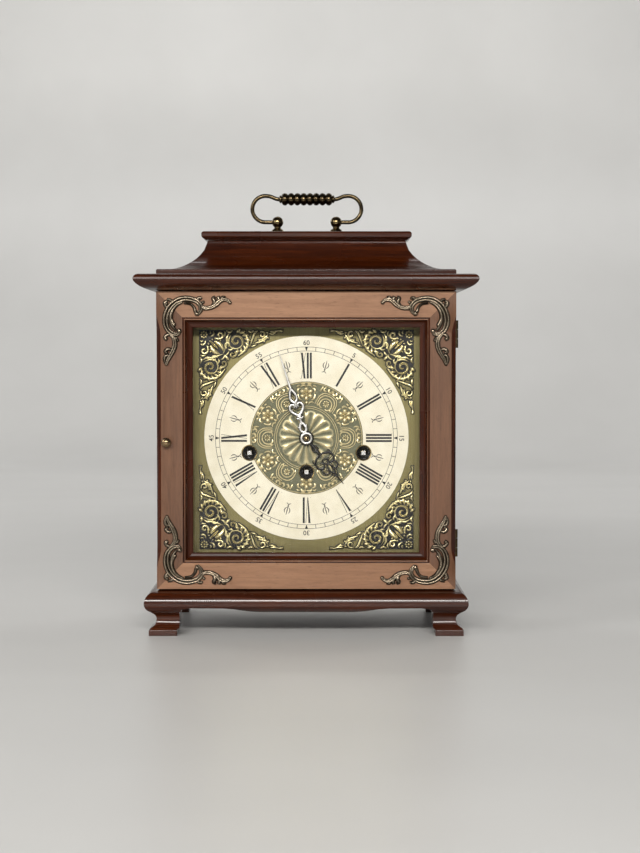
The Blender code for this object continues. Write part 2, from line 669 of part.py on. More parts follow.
def movement_plate(name, span):
    low = (-PLATE_HALF_WIDTH, span[0], DIAL_Z - PLATE_BELOW)
    high = (PLATE_HALF_WIDTH, span[1], DIAL_Z + PLATE_ABOVE)
    return solid(name, box(low, high), "polished_brass")


def make_plates():
    front = movement_plate("movement_front_plate", FRONT_PLATE)
    join(front, rod("Y", at_dial(MINUTE_STUD), 1.2, FRONT_PLATE[0] - 8.3, FRONT_PLATE[0] + 1, 12))
    back = movement_plate("movement_back_plate", BACK_PLATE)
    for x, z in PILLARS:
        join(back, rod("Y", at_dial((x, z)), 3.5, FRONT_PLATE[1] + GAP, BACK_PLATE[0] + 1, 12))
    x, y = BALANCE_AXIS
    for z in (DIAL_Z + 20, DIAL_Z + 38):
        join(back, box((x - 4, BACK_PLATE[0] + 1, z), (x + 4, y + 4, z + 2)))
    for x in (14.0, 56.0):
        join(back, box((x - 1.5, BACK_PLATE[0] + 0.5, 86.0), (x + 1.5, 27.0, 106.0)))
    join(back, rod("X", HAMMER_AXIS, 1.1, 13.0, 57.0, 12))
    for plate, span in ((front, FRONT_PLATE), (back, BACK_PLATE)):
        holes = [((0.0, 0.0), 1.8), (INTERMEDIATE, 1.3)]
        holes += [(spot, 3.3) for spot in WINDING_PLACES.values()]
        for spot, radius in holes:
            cut(plate, rod("Y", at_dial(spot), radius, span[0] - 0.9, span[1] + 0.9, 16))


def pointing(start, end):
    return math.atan2(end[1] - start[1], end[0] - start[0])


def make_barrels():
    for name, spot in WINDING_PLACES.items():
        teeth = TIME_BARREL_TEETH if name == "time" else SIDE_BARREL_TEETH
        centre = at_dial(spot)
        turns = assembly(f"barrel_pivot_{name}", (centre[0], 0.0, centre[1]))
        rim = BACK_PLATE[0] - 3.5
        drum = [(0.0, FRONT_PLATE[1] + 5.5), (19.5, FRONT_PLATE[1] + 5.5), (19.5, rim - 2), (0.0, rim - 2)]
        barrel = solid(f"barrel_{name}", turned(drum, "Y", centre, 20), "polished_brass",
                       parent=turns, smooth=True)
        facing = pointing(spot, INTERMEDIATE)
        join(barrel, toothed(teeth, BARREL_PITCH_RADIUS * 2 / teeth, centre, rim - 3, rim, facing))
        cut(barrel, rod("Y", centre, 3.3, FRONT_PLATE[1] + 2, BACK_PLATE[0] - 0.5, 16))


def make_train():
    """Intermediate wheel between the time barrel and the hands."""
    centre = at_dial(INTERMEDIATE)
    turns = assembly("intermediate_pivot", (centre[0], 0.0, centre[1]))
    rim = BACK_PLATE[0] - 3.5
    shaft = [(0.0, FRONT_PLATE[0] + 0.2), (1.0, FRONT_PLATE[0] + 0.2), (1.0, FRONT_PLATE[1] + 0.8),
             (1.6, FRONT_PLATE[1] + 0.8), (1.6, BACK_PLATE[0] - 0.8), (1.0, BACK_PLATE[0] - 0.8),
             (1.0, BACK_PLATE[1] - 0.2), (0.0, BACK_PLATE[1] - 0.2)]
    wheel = solid("intermediate_wheel", turned(shaft, "Y", centre, 12), "polished_brass",
                  parent=turns, smooth=True)
    facing = pointing(INTERMEDIATE, WINDING_PLACES["time"])
    join(wheel, toothed(12, BARREL_MODULE, centre, rim - 3.4, rim + 0.4, facing + math.pi / 12))
    front = FRONT_PLATE[1]
    facing = pointing(INTERMEDIATE, (0.0, 0.0))
    join(wheel, toothed(60, TRAIN_MODULE, centre, front + 1.5, front + 3.0, facing))


def make_centre_wheel(minute_pivot):
    centre = at_dial((0.0, 0.0))
    tip = DIAL_FACE - 8.6
    front = FRONT_PLATE[0]
    shaft = [(0.0, tip), (1.1, tip), (1.5, tip + 0.5), (1.5, BACK_PLATE[0] - 1), (1.2, BACK_PLATE[0] - 1),
             (1.2, BACK_PLATE[1] + 0.5), (0.0, BACK_PLATE[1] + 0.5)]
    wheel = solid("centre_wheel", turned(shaft, "Y", centre, 16), "steel", parent=minute_pivot,
                  smooth=True)
    facing = pointing((0.0, 0.0), INTERMEDIATE)
    pinion_start = FRONT_PLATE[1] + 1.1
    join(wheel, toothed(12, TRAIN_MODULE, centre, pinion_start, pinion_start + 2.3,
                        facing + math.pi / 12))
    facing = pointing((0.0, 0.0), MINUTE_STUD)
    join(wheel, toothed(12, BARREL_MODULE, centre, front - 3.9, front - 1.9, facing + math.pi / 12))


def make_motion_work(hour_pivot):
    """Minute wheel on its stud, and the hour wheel on a pipe round the centre arbor."""
    centre = at_dial(MINUTE_STUD)
    front = FRONT_PLATE[0]
    turns = assembly("minute_wheel_pivot", (centre[0], 0.0, centre[1]))
    facing = pointing(MINUTE_STUD, (0.0, 0.0))
    wheel = solid("minute_wheel", toothed(36, BARREL_MODULE, centre, front - 3.7, front - 2.1, facing),
                  "polished_brass", parent=turns)
    join(wheel, toothed(10, HOUR_MODULE, centre, front - 7.7, front - 3.5, facing))
    cut(wheel, rod("Y", centre, 1.5, front - 12, front - 1, 12))
    centre = at_dial((0.0, 0.0))
    facing = pointing((0.0, 0.0), MINUTE_STUD)
    hub = front - 5.9
    tip = DIAL_FACE - 4.7
    pipe = [(0.0, hub), (2.6, hub), (2.6, tip), (0.0, tip)]
    wheel = solid("hour_wheel", turned(pipe, "Y", centre, 16), "polished_brass", parent=hour_pivot,
                  smooth=True)
    join(wheel, toothed(40, HOUR_MODULE, centre, hub - 1.4, hub, facing + math.pi / 40))
    cut(wheel, rod("Y", centre, 1.8, tip - 2, hub + 2, 16))


def make_balance():
    x, y = BALANCE_AXIS
    turns = assembly("balance_pivot", (x, y, 0.0))
    middle = DIAL_Z + 30
    rim = [(9.4, middle - 1.2), (11.0, middle - 1.2), (11.0, middle + 1.2), (9.4, middle + 1.2)]
    wheel = solid("balance_wheel", turned(rim, "Z", BALANCE_AXIS, 20, closed=True), "polished_brass",
                  parent=turns, smooth=True)
    join(wheel, box((x - 10, y - 1, middle - 0.6), (x + 10, y + 1, middle + 0.6)))
    join(wheel, rod("Z", BALANCE_AXIS, 0.8, DIAL_Z + 22 + GAP, DIAL_Z + 38 - GAP, 12))


def make_chime():
    """Four rods cast into a block on the case floor, and a hammer above each rod."""
    block = solid("chime_block", box((72.0, 28.0, BASE_TOP + GAP), (92.0, 62.0, 84.0)), "steel")
    for y, end in zip(ROD_Y, ROD_ENDS):
        join(block, rod("X", (y, ROD_HEIGHT), 1.2, end, 73.0, 8))
    pivot_y, pivot_z = HAMMER_AXIS
    for number, (x, y) in enumerate(zip(HAMMER_X, ROD_Y), start=1):
        turns = assembly(f"hammer_pivot_{number}", (x, pivot_y, pivot_z))
        hub = [(1.4, x - 2), (3.2, x - 2), (3.2, x + 2), (1.4, x + 2)]
        hammer = solid(f"chime_hammer_{number}", turned(hub, "X", HAMMER_AXIS, 10, closed=True),
                       "polished_brass", parent=turns, smooth=True)
        join(hammer, box((x - 0.8, pivot_y + 2, pivot_z - 1), (x + 0.8, y, pivot_z + 1)))
        join(hammer, rod("Z", (x, y), 2.6, ROD_HEIGHT + 3.3, pivot_z + 3, 8))


def build():
    clear_scene()
    make_base()
    make_feet()
    make_panels()
    make_cornice()
    make_roof()
    make_back_door()
    make_front_door()
    make_handle()
    make_mask()
    make_dial()
    make_grommets_and_arbors()
    make_spandrels()
    hand_centre = at_dial((0.0, 0.0))
    minute_pivot = assembly("minute_pivot", (hand_centre[0], 0.0, hand_centre[1]))
    hour_pivot = assembly("hour_pivot", (hand_centre[0], 0.0, hand_centre[1]))
    make_hands(minute_pivot, hour_pivot)
    make_plates()
    make_barrels()
    make_train()
    make_centre_wheel(minute_pivot)
    make_motion_work(hour_pivot)
    make_balance()
    make_chime()


build()
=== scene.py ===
import json
import math

import bmesh
import bpy
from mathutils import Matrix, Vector


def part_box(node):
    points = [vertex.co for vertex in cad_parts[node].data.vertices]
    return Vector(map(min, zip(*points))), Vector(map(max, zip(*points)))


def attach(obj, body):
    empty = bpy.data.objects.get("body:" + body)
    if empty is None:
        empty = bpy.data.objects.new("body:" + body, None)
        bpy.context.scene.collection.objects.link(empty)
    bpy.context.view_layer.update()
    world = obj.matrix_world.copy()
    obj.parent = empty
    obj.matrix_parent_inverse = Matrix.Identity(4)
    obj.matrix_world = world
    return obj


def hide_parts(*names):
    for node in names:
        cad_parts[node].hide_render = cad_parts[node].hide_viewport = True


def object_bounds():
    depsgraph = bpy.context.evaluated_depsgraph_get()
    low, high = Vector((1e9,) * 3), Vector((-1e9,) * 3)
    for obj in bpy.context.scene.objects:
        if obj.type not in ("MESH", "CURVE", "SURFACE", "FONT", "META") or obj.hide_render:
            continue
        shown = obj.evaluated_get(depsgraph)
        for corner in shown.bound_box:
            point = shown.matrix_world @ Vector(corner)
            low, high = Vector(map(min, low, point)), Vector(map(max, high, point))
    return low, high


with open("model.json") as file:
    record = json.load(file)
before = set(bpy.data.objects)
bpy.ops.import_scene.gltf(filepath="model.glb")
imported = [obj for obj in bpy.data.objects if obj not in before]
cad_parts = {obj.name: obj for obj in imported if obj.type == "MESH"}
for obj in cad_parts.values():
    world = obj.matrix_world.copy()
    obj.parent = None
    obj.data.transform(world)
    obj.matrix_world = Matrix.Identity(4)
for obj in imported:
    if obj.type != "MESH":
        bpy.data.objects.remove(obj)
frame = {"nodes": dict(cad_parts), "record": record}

# Looks of the bracket clock. Every place comes from the CAD frame; MM turns millimetres into metres.
CAD_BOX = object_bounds()
MM = 0.001
TURN = 2 * math.pi
HALF_TURN = math.pi

BODY_OF = {node: body for body, nodes in frame["record"]["behaviour"]["bodies"].items() for node in nodes}

DOOR_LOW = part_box("door_rail_bottom")[0]
DOOR_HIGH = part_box("door_rail_top")[1]
DOOR_FACE = DOOR_LOW.y
DOOR_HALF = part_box("door_stile_right")[1].x
DOOR_MIDDLE = (DOOR_LOW.z + DOOR_HIGH.z) / 2
DOOR_HALF_HEIGHT = (DOOR_HIGH.z - DOOR_LOW.z) / 2
FLAT_WIDTH = 20.8 * MM          # plain part of a door member, before its bead
BEAD_MIDDLE = 22.3 * MM         # line of the bead inside the plain part, where a thin highlight is painted; the next value is its half width
BEAD_HIGHLIGHT_HALF_WIDTH = 0.42 * MM
FACE_SKIN = 0.25 * MM           # how far behind the door's face its plain part still counts
MITRE_CLOSING = 0.18 * MM

RING_LOW, RING_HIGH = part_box("chapter_ring")
RING_FACE = RING_LOW.y
DIAL_X = (RING_LOW.x + RING_HIGH.x) / 2
DIAL_Z = (RING_LOW.z + RING_HIGH.z) / 2
DISC_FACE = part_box("centre_disc")[0].y
DISC_RADIUS = 45.2              # millimetres, as are all the ornament's own sizes
MINUTE_ANGLE = -17.7            # degrees clockwise from twelve, as the CAD hand stands
HOUR_ANGLE = 141.0
WINDING_HOLES = [(0.0, -27.5), (-46.0, -12.0), (46.0, -12.0)]
TRAINS = ("time", "strike", "chime")
HOLE_CLEAR = 6.9                # ornament keeps this far from a winding hole's middle
ARC_CLEAR = 6.2                 # and its plain rings this far
WINDING_CLEARANCE = 3.15 * MM   # hole left for the winding square to turn in
SPANDREL_INSET = 2.1            # the scrollwork's place in its CAD solid, millimetres
SPANDREL_DROP = 1.4
CASTING_LIFT = 0.25             # the castings' backs stand this far off the door
DISC_WEIGHT = 1.5               # how much bolder the disc's ornament is than its drawn widths
ARBOR_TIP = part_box("winding_arbor_time")[0].y


# ---- Materials ----

class Shader:
    """A Principled material and short ways to add nodes to it."""

    def __init__(self, name):
        self.material = bpy.data.materials.new(name)
        self.material.use_nodes = True
        self.tree = self.material.node_tree
        self.surface = self.tree.nodes["Principled BSDF"]
        self.place = self.node("ShaderNodeTexCoord").outputs["Object"]

    def feed(self, target, value):
        """Link a socket to an input, or give the input a plain value or an opaque colour."""
        if isinstance(value, bpy.types.NodeSocket):
            self.tree.links.new(value, target)
        elif target.type == "RGBA" and len(value) == 3:
            target.default_value = (*value, 1.0)
        else:
            target.default_value = value

    def node(self, kind, inputs=None, **settings):
        made = self.tree.nodes.new(kind)
        for name, value in settings.items():
            setattr(made, name, value)
        for name, value in (inputs or {}).items():
            self.feed(made.inputs[name], value)
        return made

    def scaled(self, scale):
        return self.node("ShaderNodeMapping", {"Vector": self.place, "Scale": scale}).outputs["Vector"]

    def noise(self, vector, scale, detail=4.0, rough=0.55, distortion=0.0):
        return self.node("ShaderNodeTexNoise", {
            "Vector": vector, "Scale": scale, "Detail": detail, "Roughness": rough,
            "Distortion": distortion}).outputs["Fac"]

    def ramp(self, factor, *stops):
        made = self.node("ShaderNodeValToRGB", {"Fac": factor})
        for element, (position, colour) in zip(made.color_ramp.elements, stops):
            element.position = position
            element.color = (*colour, 1.0)
        return made.outputs["Color"]

    def spread(self, value, low, high, new_low, new_high):
        return self.node("ShaderNodeMapRange", {
            "Value": value, "From Min": low, "From Max": high, "To Min": new_low,
            "To Max": new_high}).outputs["Result"]

    def maths(self, operation, *values):
        return self.node("ShaderNodeMath", dict(enumerate(values)), operation=operation).outputs["Value"]

    def mix(self, factor, first, second, blend="MIX"):
        made = self.node("ShaderNodeMix", {0: factor, 6: first, 7: second},
                         data_type="RGBA", blend_type=blend)
        return made.outputs[2]

    def axis(self, index):
        return self.node("ShaderNodeSeparateXYZ", {"Vector": self.place}).outputs[index]

    def bump(self, height, strength, distance):
        made = self.node("ShaderNodeBump", {"Height": height, "Strength": strength, "Distance": distance})
        self.feed(self.surface.inputs["Normal"], made.outputs["Normal"])

    def set(self, **values):
        for name, value in values.items():
            self.feed(self.surface.inputs[name.replace("_", " ")], value)


def wood(name, grain, dark, light, roughness, coat, door_flats=None):
    """Lacquered mahogany. grain is the axis it runs along; door_flats is a second pair of colours."""
    shader = Shader(name)
    stretch = {"X": (1.0, 14.0, 14.0), "Y": (14.0, 1.0, 14.0), "Z": (14.0, 14.0, 1.0)}[grain]
    along = shader.scaled(stretch)
    figure = shader.noise(along, 9.0, 6.0, 0.62, 1.2)
    streak = shader.noise(along, 46.0, 5.0, 0.7, 0.4)
    pores = shader.noise(shader.scaled(tuple(3.2 * part for part in stretch)), 60.0, 2.0, 0.5)
    cloud = shader.noise(shader.place, 11.0, 3.0, 0.5)
    grain_value = shader.maths("ADD", shader.maths("MULTIPLY", figure, 0.6),
                               shader.maths("MULTIPLY", streak, 0.4))
    colour = shader.ramp(grain_value, (0.33, dark), (0.66, light))
    rough = shader.spread(cloud, 0.3, 0.7, roughness - 0.05, roughness + 0.08)
    if door_flats:
        side = shader.maths("SUBTRACT", DOOR_HALF, shader.maths("ABSOLUTE", shader.axis(0)))
        level = shader.maths("SUBTRACT", shader.axis(2), DOOR_MIDDLE)
        end = shader.maths("SUBTRACT", DOOR_HALF_HEIGHT, shader.maths("ABSOLUTE", level))
        inward = shader.maths("MINIMUM", side, end)
        behind = shader.maths("GREATER_THAN", shader.axis(1), DOOR_FACE + FACE_SKIN)
        moulded = shader.maths("MAXIMUM", shader.maths("GREATER_THAN", inward, FLAT_WIDTH), behind)
        flats = shader.ramp(grain_value, (0.30, door_flats[0]), (0.68, door_flats[1]))
        colour = shader.mix(moulded, flats, colour)
        # Painted highlight: a thin line along the door's bead takes most of the plain part's lighter colour.
        bead_highlight = shader.maths("COMPARE", inward, BEAD_MIDDLE, BEAD_HIGHLIGHT_HALF_WIDTH)
        colour = shader.mix(shader.maths("MULTIPLY", bead_highlight, 0.75), colour, flats)
        rough = shader.spread(moulded, 0.0, 1.0, 0.42, rough)
    colour = shader.mix(shader.spread(cloud, 0.3, 0.7, 0.0, 0.55), colour, (0.62, 0.55, 0.48), "MULTIPLY")
    worn = shader.spread(pores, 0.62, 0.74, 0.0, 0.45)
    colour = shader.mix(worn, colour, (0.02, 0.006, 0.003))
    shader.set(Base_Color=colour, Roughness=rough)
    shader.set(Coat_Weight=coat, Coat_Roughness=0.05, Specular_IOR_Level=0.25)
    shader.bump(shader.maths("ADD", streak, pores), 0.06, 0.0002)
    return shader.material


def brass(name, low, high, roughness, depth=None, metallic=1.0):
    """Brass with handling marks. depth=(surface y, height) darkens the hollows of a relief."""
    shader = Shader(name)
    tarnish = shader.noise(shader.place, 140.0, 5.0, 0.6)
    marks = shader.noise(shader.scaled((1.0, 1.0, 6.0)), 420.0, 3.0, 0.7)
    if depth:
        base, height = depth
        rise = shader.spread(shader.axis(1), base, base - height, 0.0, 1.0)
        rubbed = shader.maths("ADD", rise, shader.spread(tarnish, 0.3, 0.7, -0.16, 0.16))
        colour = shader.ramp(rubbed, (0.22, low), (0.85, high))
        shader.set(Roughness=shader.spread(rubbed, 0.1, 0.9, roughness + 0.25, roughness))
    else:
        colour = shader.ramp(tarnish, (0.36, low), (0.62, high))
        shader.set(Roughness=shader.spread(marks, 0.3, 0.7, roughness - 0.05, roughness + 0.12))
    shader.set(Base_Color=colour, Metallic=metallic)
    shader.bump(shader.maths("ADD", tarnish, marks), 0.10, 0.0001)
    return shader.material


def dial_plate_finish():
    """Olive satin brass, brushed up and down."""
    shader = Shader("dial_plate_finish")
    brushing = shader.noise(shader.scaled((60.0, 60.0, 1.0)), 30.0, 4.0, 0.7)
    cloud = shader.noise(shader.place, 22.0, 3.0)
    colour = shader.ramp(brushing, (0.3, (0.17, 0.145, 0.060)), (0.7, (0.27, 0.230, 0.100)))
    colour = shader.mix(shader.spread(cloud, 0.35, 0.7, 0.0, 0.4), colour, (0.13, 0.118, 0.055))
    shader.set(Base_Color=colour, Metallic=0.7, Roughness=shader.spread(brushing, 0.3, 0.7, 0.34, 0.5))
    shader.bump(brushing, 0.08, 0.0001)
    return shader.material


def painted(name, low, high, roughness):
    """Enamel or lacquer with a fine mottle."""
    shader = Shader(name)
    mottle = shader.noise(shader.place, 90.0, 4.0)
    fine = shader.noise(shader.place, 1400.0, 2.0)
    colour = shader.ramp(mottle, (0.35, low), (0.65, high))
    rough = shader.spread(mottle, 0.3, 0.7, roughness - 0.05, roughness + 0.08)
    shader.set(Base_Color=colour, Roughness=rough)
    shader.bump(fine, 0.05, 0.0001)
    return shader.material


def steel(name, tip=None):
    """Drawn steel; tip is how far back from the clock's front a painted highlight on the end goes before
    painted shade takes over.
    """
    shader = Shader(name)
    drawn = shader.noise(shader.scaled((40.0, 1.0, 40.0)), 60.0, 3.0)
    colour = shader.ramp(drawn, (0.3, (0.30, 0.29, 0.28)), (0.7, (0.55, 0.54, 0.52)))
    if tip is not None:
        # Painted light: the arbor's front end bright as its highlight, the rest dark as the winding hole's
        # shade.
        bright = shader.ramp(drawn, (0.3, (0.78, 0.77, 0.74)), (0.7, (0.93, 0.92, 0.90)))
        dark = shader.maths("GREATER_THAN", shader.axis(1), tip)
        colour = shader.mix(dark, bright, (0.03, 0.028, 0.025))
    shader.set(Base_Color=colour, Metallic=1.0, Roughness=shader.spread(drawn, 0.3, 0.7, 0.16, 0.34))
    shader.bump(drawn, 0.06, 0.0001)
    return shader.material


def clear_glass():
    """Flat window glass: clear when looked through, glossier at a slant, with a very slight smear."""
    shader = Shader("window_glass")
    smear = shader.noise(shader.scaled((3.0, 3.0, 1.0)), 18.0, 3.0)
    slant = shader.node("ShaderNodeLayerWeight", {"Blend": 0.3})
    shader.set(Base_Color=(0.03, 0.035, 0.032, 1.0), Roughness=shader.spread(smear, 0.4, 0.8, 0.02, 0.06))
    shader.set(Alpha=shader.spread(slant.outputs["Facing"], 0.0, 1.0, 0.04, 0.55), Specular_IOR_Level=0.8)
    return shader.material


DARK_WOOD = ((0.012, 0.0016, 0.0003), (0.064, 0.0125, 0.0018))
CASE_X = wood("case_wood_x", "X", *DARK_WOOD, 0.24, 0.35)
CASE_Z = wood("case_wood_z", "Z", *DARK_WOOD, 0.24, 0.35)
# The rails' plain parts are lighter than the stiles': painted sheen, as their crosswise grain would catch
# the light.
RAIL_WOOD_SHEENED = wood("rail_wood_painted_sheen", "X", *DARK_WOOD, 0.28, 0.2, ((0.180, 0.085, 0.043), (0.330, 0.178, 0.100)))
STILE_WOOD = wood("stile_wood", "Z", *DARK_WOOD, 0.28, 0.2, ((0.086, 0.038, 0.019), (0.165, 0.079, 0.042)))
CASTING = brass("casting_brass", (0.008, 0.006, 0.004), (0.36, 0.29, 0.21), 0.17,
                (DOOR_FACE - 0.6 * MM, 3.0 * MM))
CASTING_DARK = brass("casting_dark", (0.008, 0.006, 0.004), (0.030, 0.022, 0.015), 0.42)
HANDLE_BRASS = brass("handle_brass", (0.030, 0.022, 0.012), (0.110, 0.080, 0.042), 0.16)
POST_BRASS = brass("post_brass", (0.070, 0.050, 0.024), (0.20, 0.145, 0.072), 0.15)
HINGE_BRASS = brass("hinge_brass", (0.035, 0.024, 0.012), (0.10, 0.07, 0.035), 0.30)
BRIGHT_BRASS = brass("bright_brass", (0.50, 0.36, 0.14), (0.68, 0.52, 0.24), 0.20)
KNOB_BRASS = brass("knob_brass", (0.16, 0.105, 0.055), (0.30, 0.21, 0.12), 0.20)
NUT_BRASS = brass("nut_brass", (0.26, 0.18, 0.09), (0.44, 0.32, 0.17), 0.18)
PLATE_BRASS = dial_plate_finish()
IVORY = painted("ring_ivory", (0.80, 0.735, 0.56), (0.87, 0.815, 0.65), 0.42)
PRINT = painted("ring_print", (0.006, 0.006, 0.006), (0.012, 0.011, 0.011), 0.5)
FINE_PRINT = painted("ring_fine_print", (0.030, 0.028, 0.024), (0.055, 0.05, 0.045), 0.5)
BLACK = painted("black_lacquer_finish", (0.006, 0.005, 0.004), (0.014, 0.012, 0.010), 0.3)
SILVER = brass("hand_silver", (0.72, 0.70, 0.66), (0.88, 0.86, 0.82), 0.30)
STEEL = steel("drawn_steel")
# The winding arbors carry a painted highlight on their ends and painted shade behind.
ARBOR_STEEL_PAINTED_LIGHT = steel("arbor_steel_painted_light", ARBOR_TIP + 0.25 * MM)
GLASS = clear_glass()


# ---- Pieces made from CAD nodes ----

def add_piece(name, mesh, material, body, nodes=()):
    """Put a finished mesh in the scene, riding on a body and standing for some CAD nodes."""
    mesh.name = name
    mesh.materials.clear()
    mesh.materials.append(material)
    piece = bpy.data.objects.new(name, mesh)
    bpy.context.scene.collection.objects.link(piece)
    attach(piece, body)
    if nodes:
        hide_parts(*nodes)
    return piece


def stand_in(node, ending, mesh, material):
    """A piece that takes a CAD node's place, named after it."""
    return add_piece(f"{node}_{ending}", mesh, material, BODY_OF[node], [node])


def add_black(name, mesh, node):
    """A black piece that goes with a CAD node without taking its place: lacquered parts, and painted shade
    and shadow.
    """
    add_piece(name, mesh, BLACK, BODY_OF[node])


def smoothed(mesh, angle):
    """Smooth shading with every edge sharper than the angle, in degrees, kept crisp."""
    mesh.shade_smooth()
    mesh.set_sharp_from_angle(angle=math.radians(angle))
    return mesh


def fine(node, material, bevel, along=None):
    """A CAD node's own shape with welded faces, smooth curves and small rounded edges.

    along names the axis of a mitred member: only its long edges are rounded, and its two ends
    close most of the joint's gap.
    """
    sharp = math.radians(34)
    bm = bmesh.new()
    bm.from_mesh(frame["nodes"][node].data)
    bmesh.ops.remove_doubles(bm, verts=bm.verts, dist=1e-6)
    bmesh.ops.dissolve_limit(bm, angle_limit=math.radians(0.5), verts=bm.verts, edges=bm.edges)
    if along is not None:
        middle = Vector((0.0, 0.0, DOOR_MIDDLE))
        for vertex in bm.verts:
            vertex.co[along] += math.copysign(MITRE_CLOSING, vertex.co[along] - middle[along])
        weight = bm.edges.layers.float.new("bevel_weight_edge")
        for edge in bm.edges:
            run = (edge.verts[1].co - edge.verts[0].co).normalized()
            edge[weight] = float(abs(run[along]) > 0.99 and edge.calc_face_angle(0.0) > sharp)
    mesh = bpy.data.meshes.new(node)
    bm.to_mesh(mesh)
    bm.free()
    piece = stand_in(node, "fine", smoothed(mesh, 32), material)
    if bevel:
        edges = piece.modifiers.new("edges", "BEVEL")
        edges.width = bevel * MM
        edges.segments = 2
        edges.limit_method = "ANGLE" if along is None else "WEIGHT"
        edges.angle_limit = sharp
        edges.harden_normals = True
        edges.use_clamp_overlap = True


def paint(node, material):
    """A CAD node that keeps its mesh and takes a better material."""
    materials = frame["nodes"][node].data.materials
    if not materials:
        materials.append(material)
    for slot in frame["nodes"][node].material_slots:
        slot.material = material


def named(start):
    return [node for node in BODY_OF if node.startswith(start)]


def finish_case():
    """Wood: grain runs across the mouldings and feet, and up the panels; the door's is mitred."""
    for node in ("base_moulding", "cornice", "roof_cove", "top_plate"):
        fine(node, CASE_X, 0.35)
    for node in named("foot_"):
        fine(node, CASE_X, 0.4)
    for node in ("side_panel_left", "side_panel_right", "back_door", "dial_mask"):
        fine(node, CASE_Z, 0.5)
    for node in ("door_rail_bottom", "door_rail_top"):
        fine(node, RAIL_WOOD_SHEENED, 0.25, 0)
    for node in ("door_stile_left", "door_stile_right"):
        fine(node, STILE_WOOD, 0.25, 2)


def finish_metal():
    """Everything in metal, ivory or glass that keeps its CAD shape, each with its bevel in mm."""
    for node in named("hinge_"):
        fine(node, HINGE_BRASS, 0.1)
    fine("dial_plate", PLATE_BRASS, 0.12)
    for node in ("movement_front_plate", "movement_back_plate"):
        fine(node, BRIGHT_BRASS, 0.12)
    fine("door_knob", KNOB_BRASS, 0.0)
    paint("chapter_ring", IVORY)
    paint("door_glass", GLASS)
    bright = ["minute_wheel", "hour_wheel", "intermediate_wheel", "balance_wheel"]
    for node in bright + [f"barrel_{train}" for train in TRAINS] + named("chime_hammer_"):
        fine(node, BRIGHT_BRASS, 0.08)
    for node in ("centre_wheel", "chime_block"):
        fine(node, STEEL, 0.1)
    for train in TRAINS:
        fine(f"winding_arbor_{train}", ARBOR_STEEL_PAINTED_LIGHT, 0.35)


# ---- Drawing relief and flat shapes ----

def bridge_rings(bm, first, second):
    """Faces between two rings of points, either of which may be a single point."""
    count = max(len(first), len(second))
    for index in range(count):
        after = (index + 1) % count
        corners = [first[index % len(first)], first[after % len(first)],
                   second[after % len(second)], second[index % len(second)]]
        bm.faces.new(list(dict.fromkeys(corners)))


def close_rings(bm, rings):
    """A solid through rings of points, capped at each end that isn't a single point."""
    for first, second in zip(rings, rings[1:]):
        bridge_rings(bm, first, second)
    for ring in (rings[0], rings[-1]):
        if len(ring) > 2:
            bm.faces.new(ring)


def finished_mesh(bm, angle=40):
    """The mesh of a finished bmesh: faces out, smooth up to the angle, or flat if there is none."""
    bmesh.ops.recalc_face_normals(bm, faces=bm.faces)
    mesh = bpy.data.meshes.new("mesh")
    bm.to_mesh(mesh)
    bm.free()
    return smoothed(mesh, angle) if angle else mesh


def circle(centre, radius, steps):
    angles = [TURN * step / steps for step in range(steps)]
    return [(centre[0] + radius * math.cos(angle), centre[1] + radius * math.sin(angle)) for angle in angles]


def turned_mesh(profile, centre, upright=True, closed=False, steps=40):
    """A turned piece from (radius, along) points in metres, about Z or, if not upright, about Y.

    A closed profile leaves a bore.
    """
    bm = bmesh.new()
    rings = []
    for radius, along in profile:
        around = circle(centre, radius, steps if radius > 0 else 1)
        rings.append([bm.verts.new((a, b, along) if upright else (a, along, b)) for a, b in around])
    if closed:
        for first, second in zip(rings, rings[1:] + rings[:1]):
            bridge_rings(bm, first, second)
    else:
        close_rings(bm, rings)
    return finished_mesh(bm)


def direction(route, index):
    """The way a route of (u, v, ...) points runs at one of them."""
    before, after = route[max(index - 1, 0)], route[min(index + 1, len(route) - 1)]
    run = Vector((after[0] - before[0], after[1] - before[1]))
    return run.normalized() if run.length > 1e-9 else Vector((1.0, 0.0))


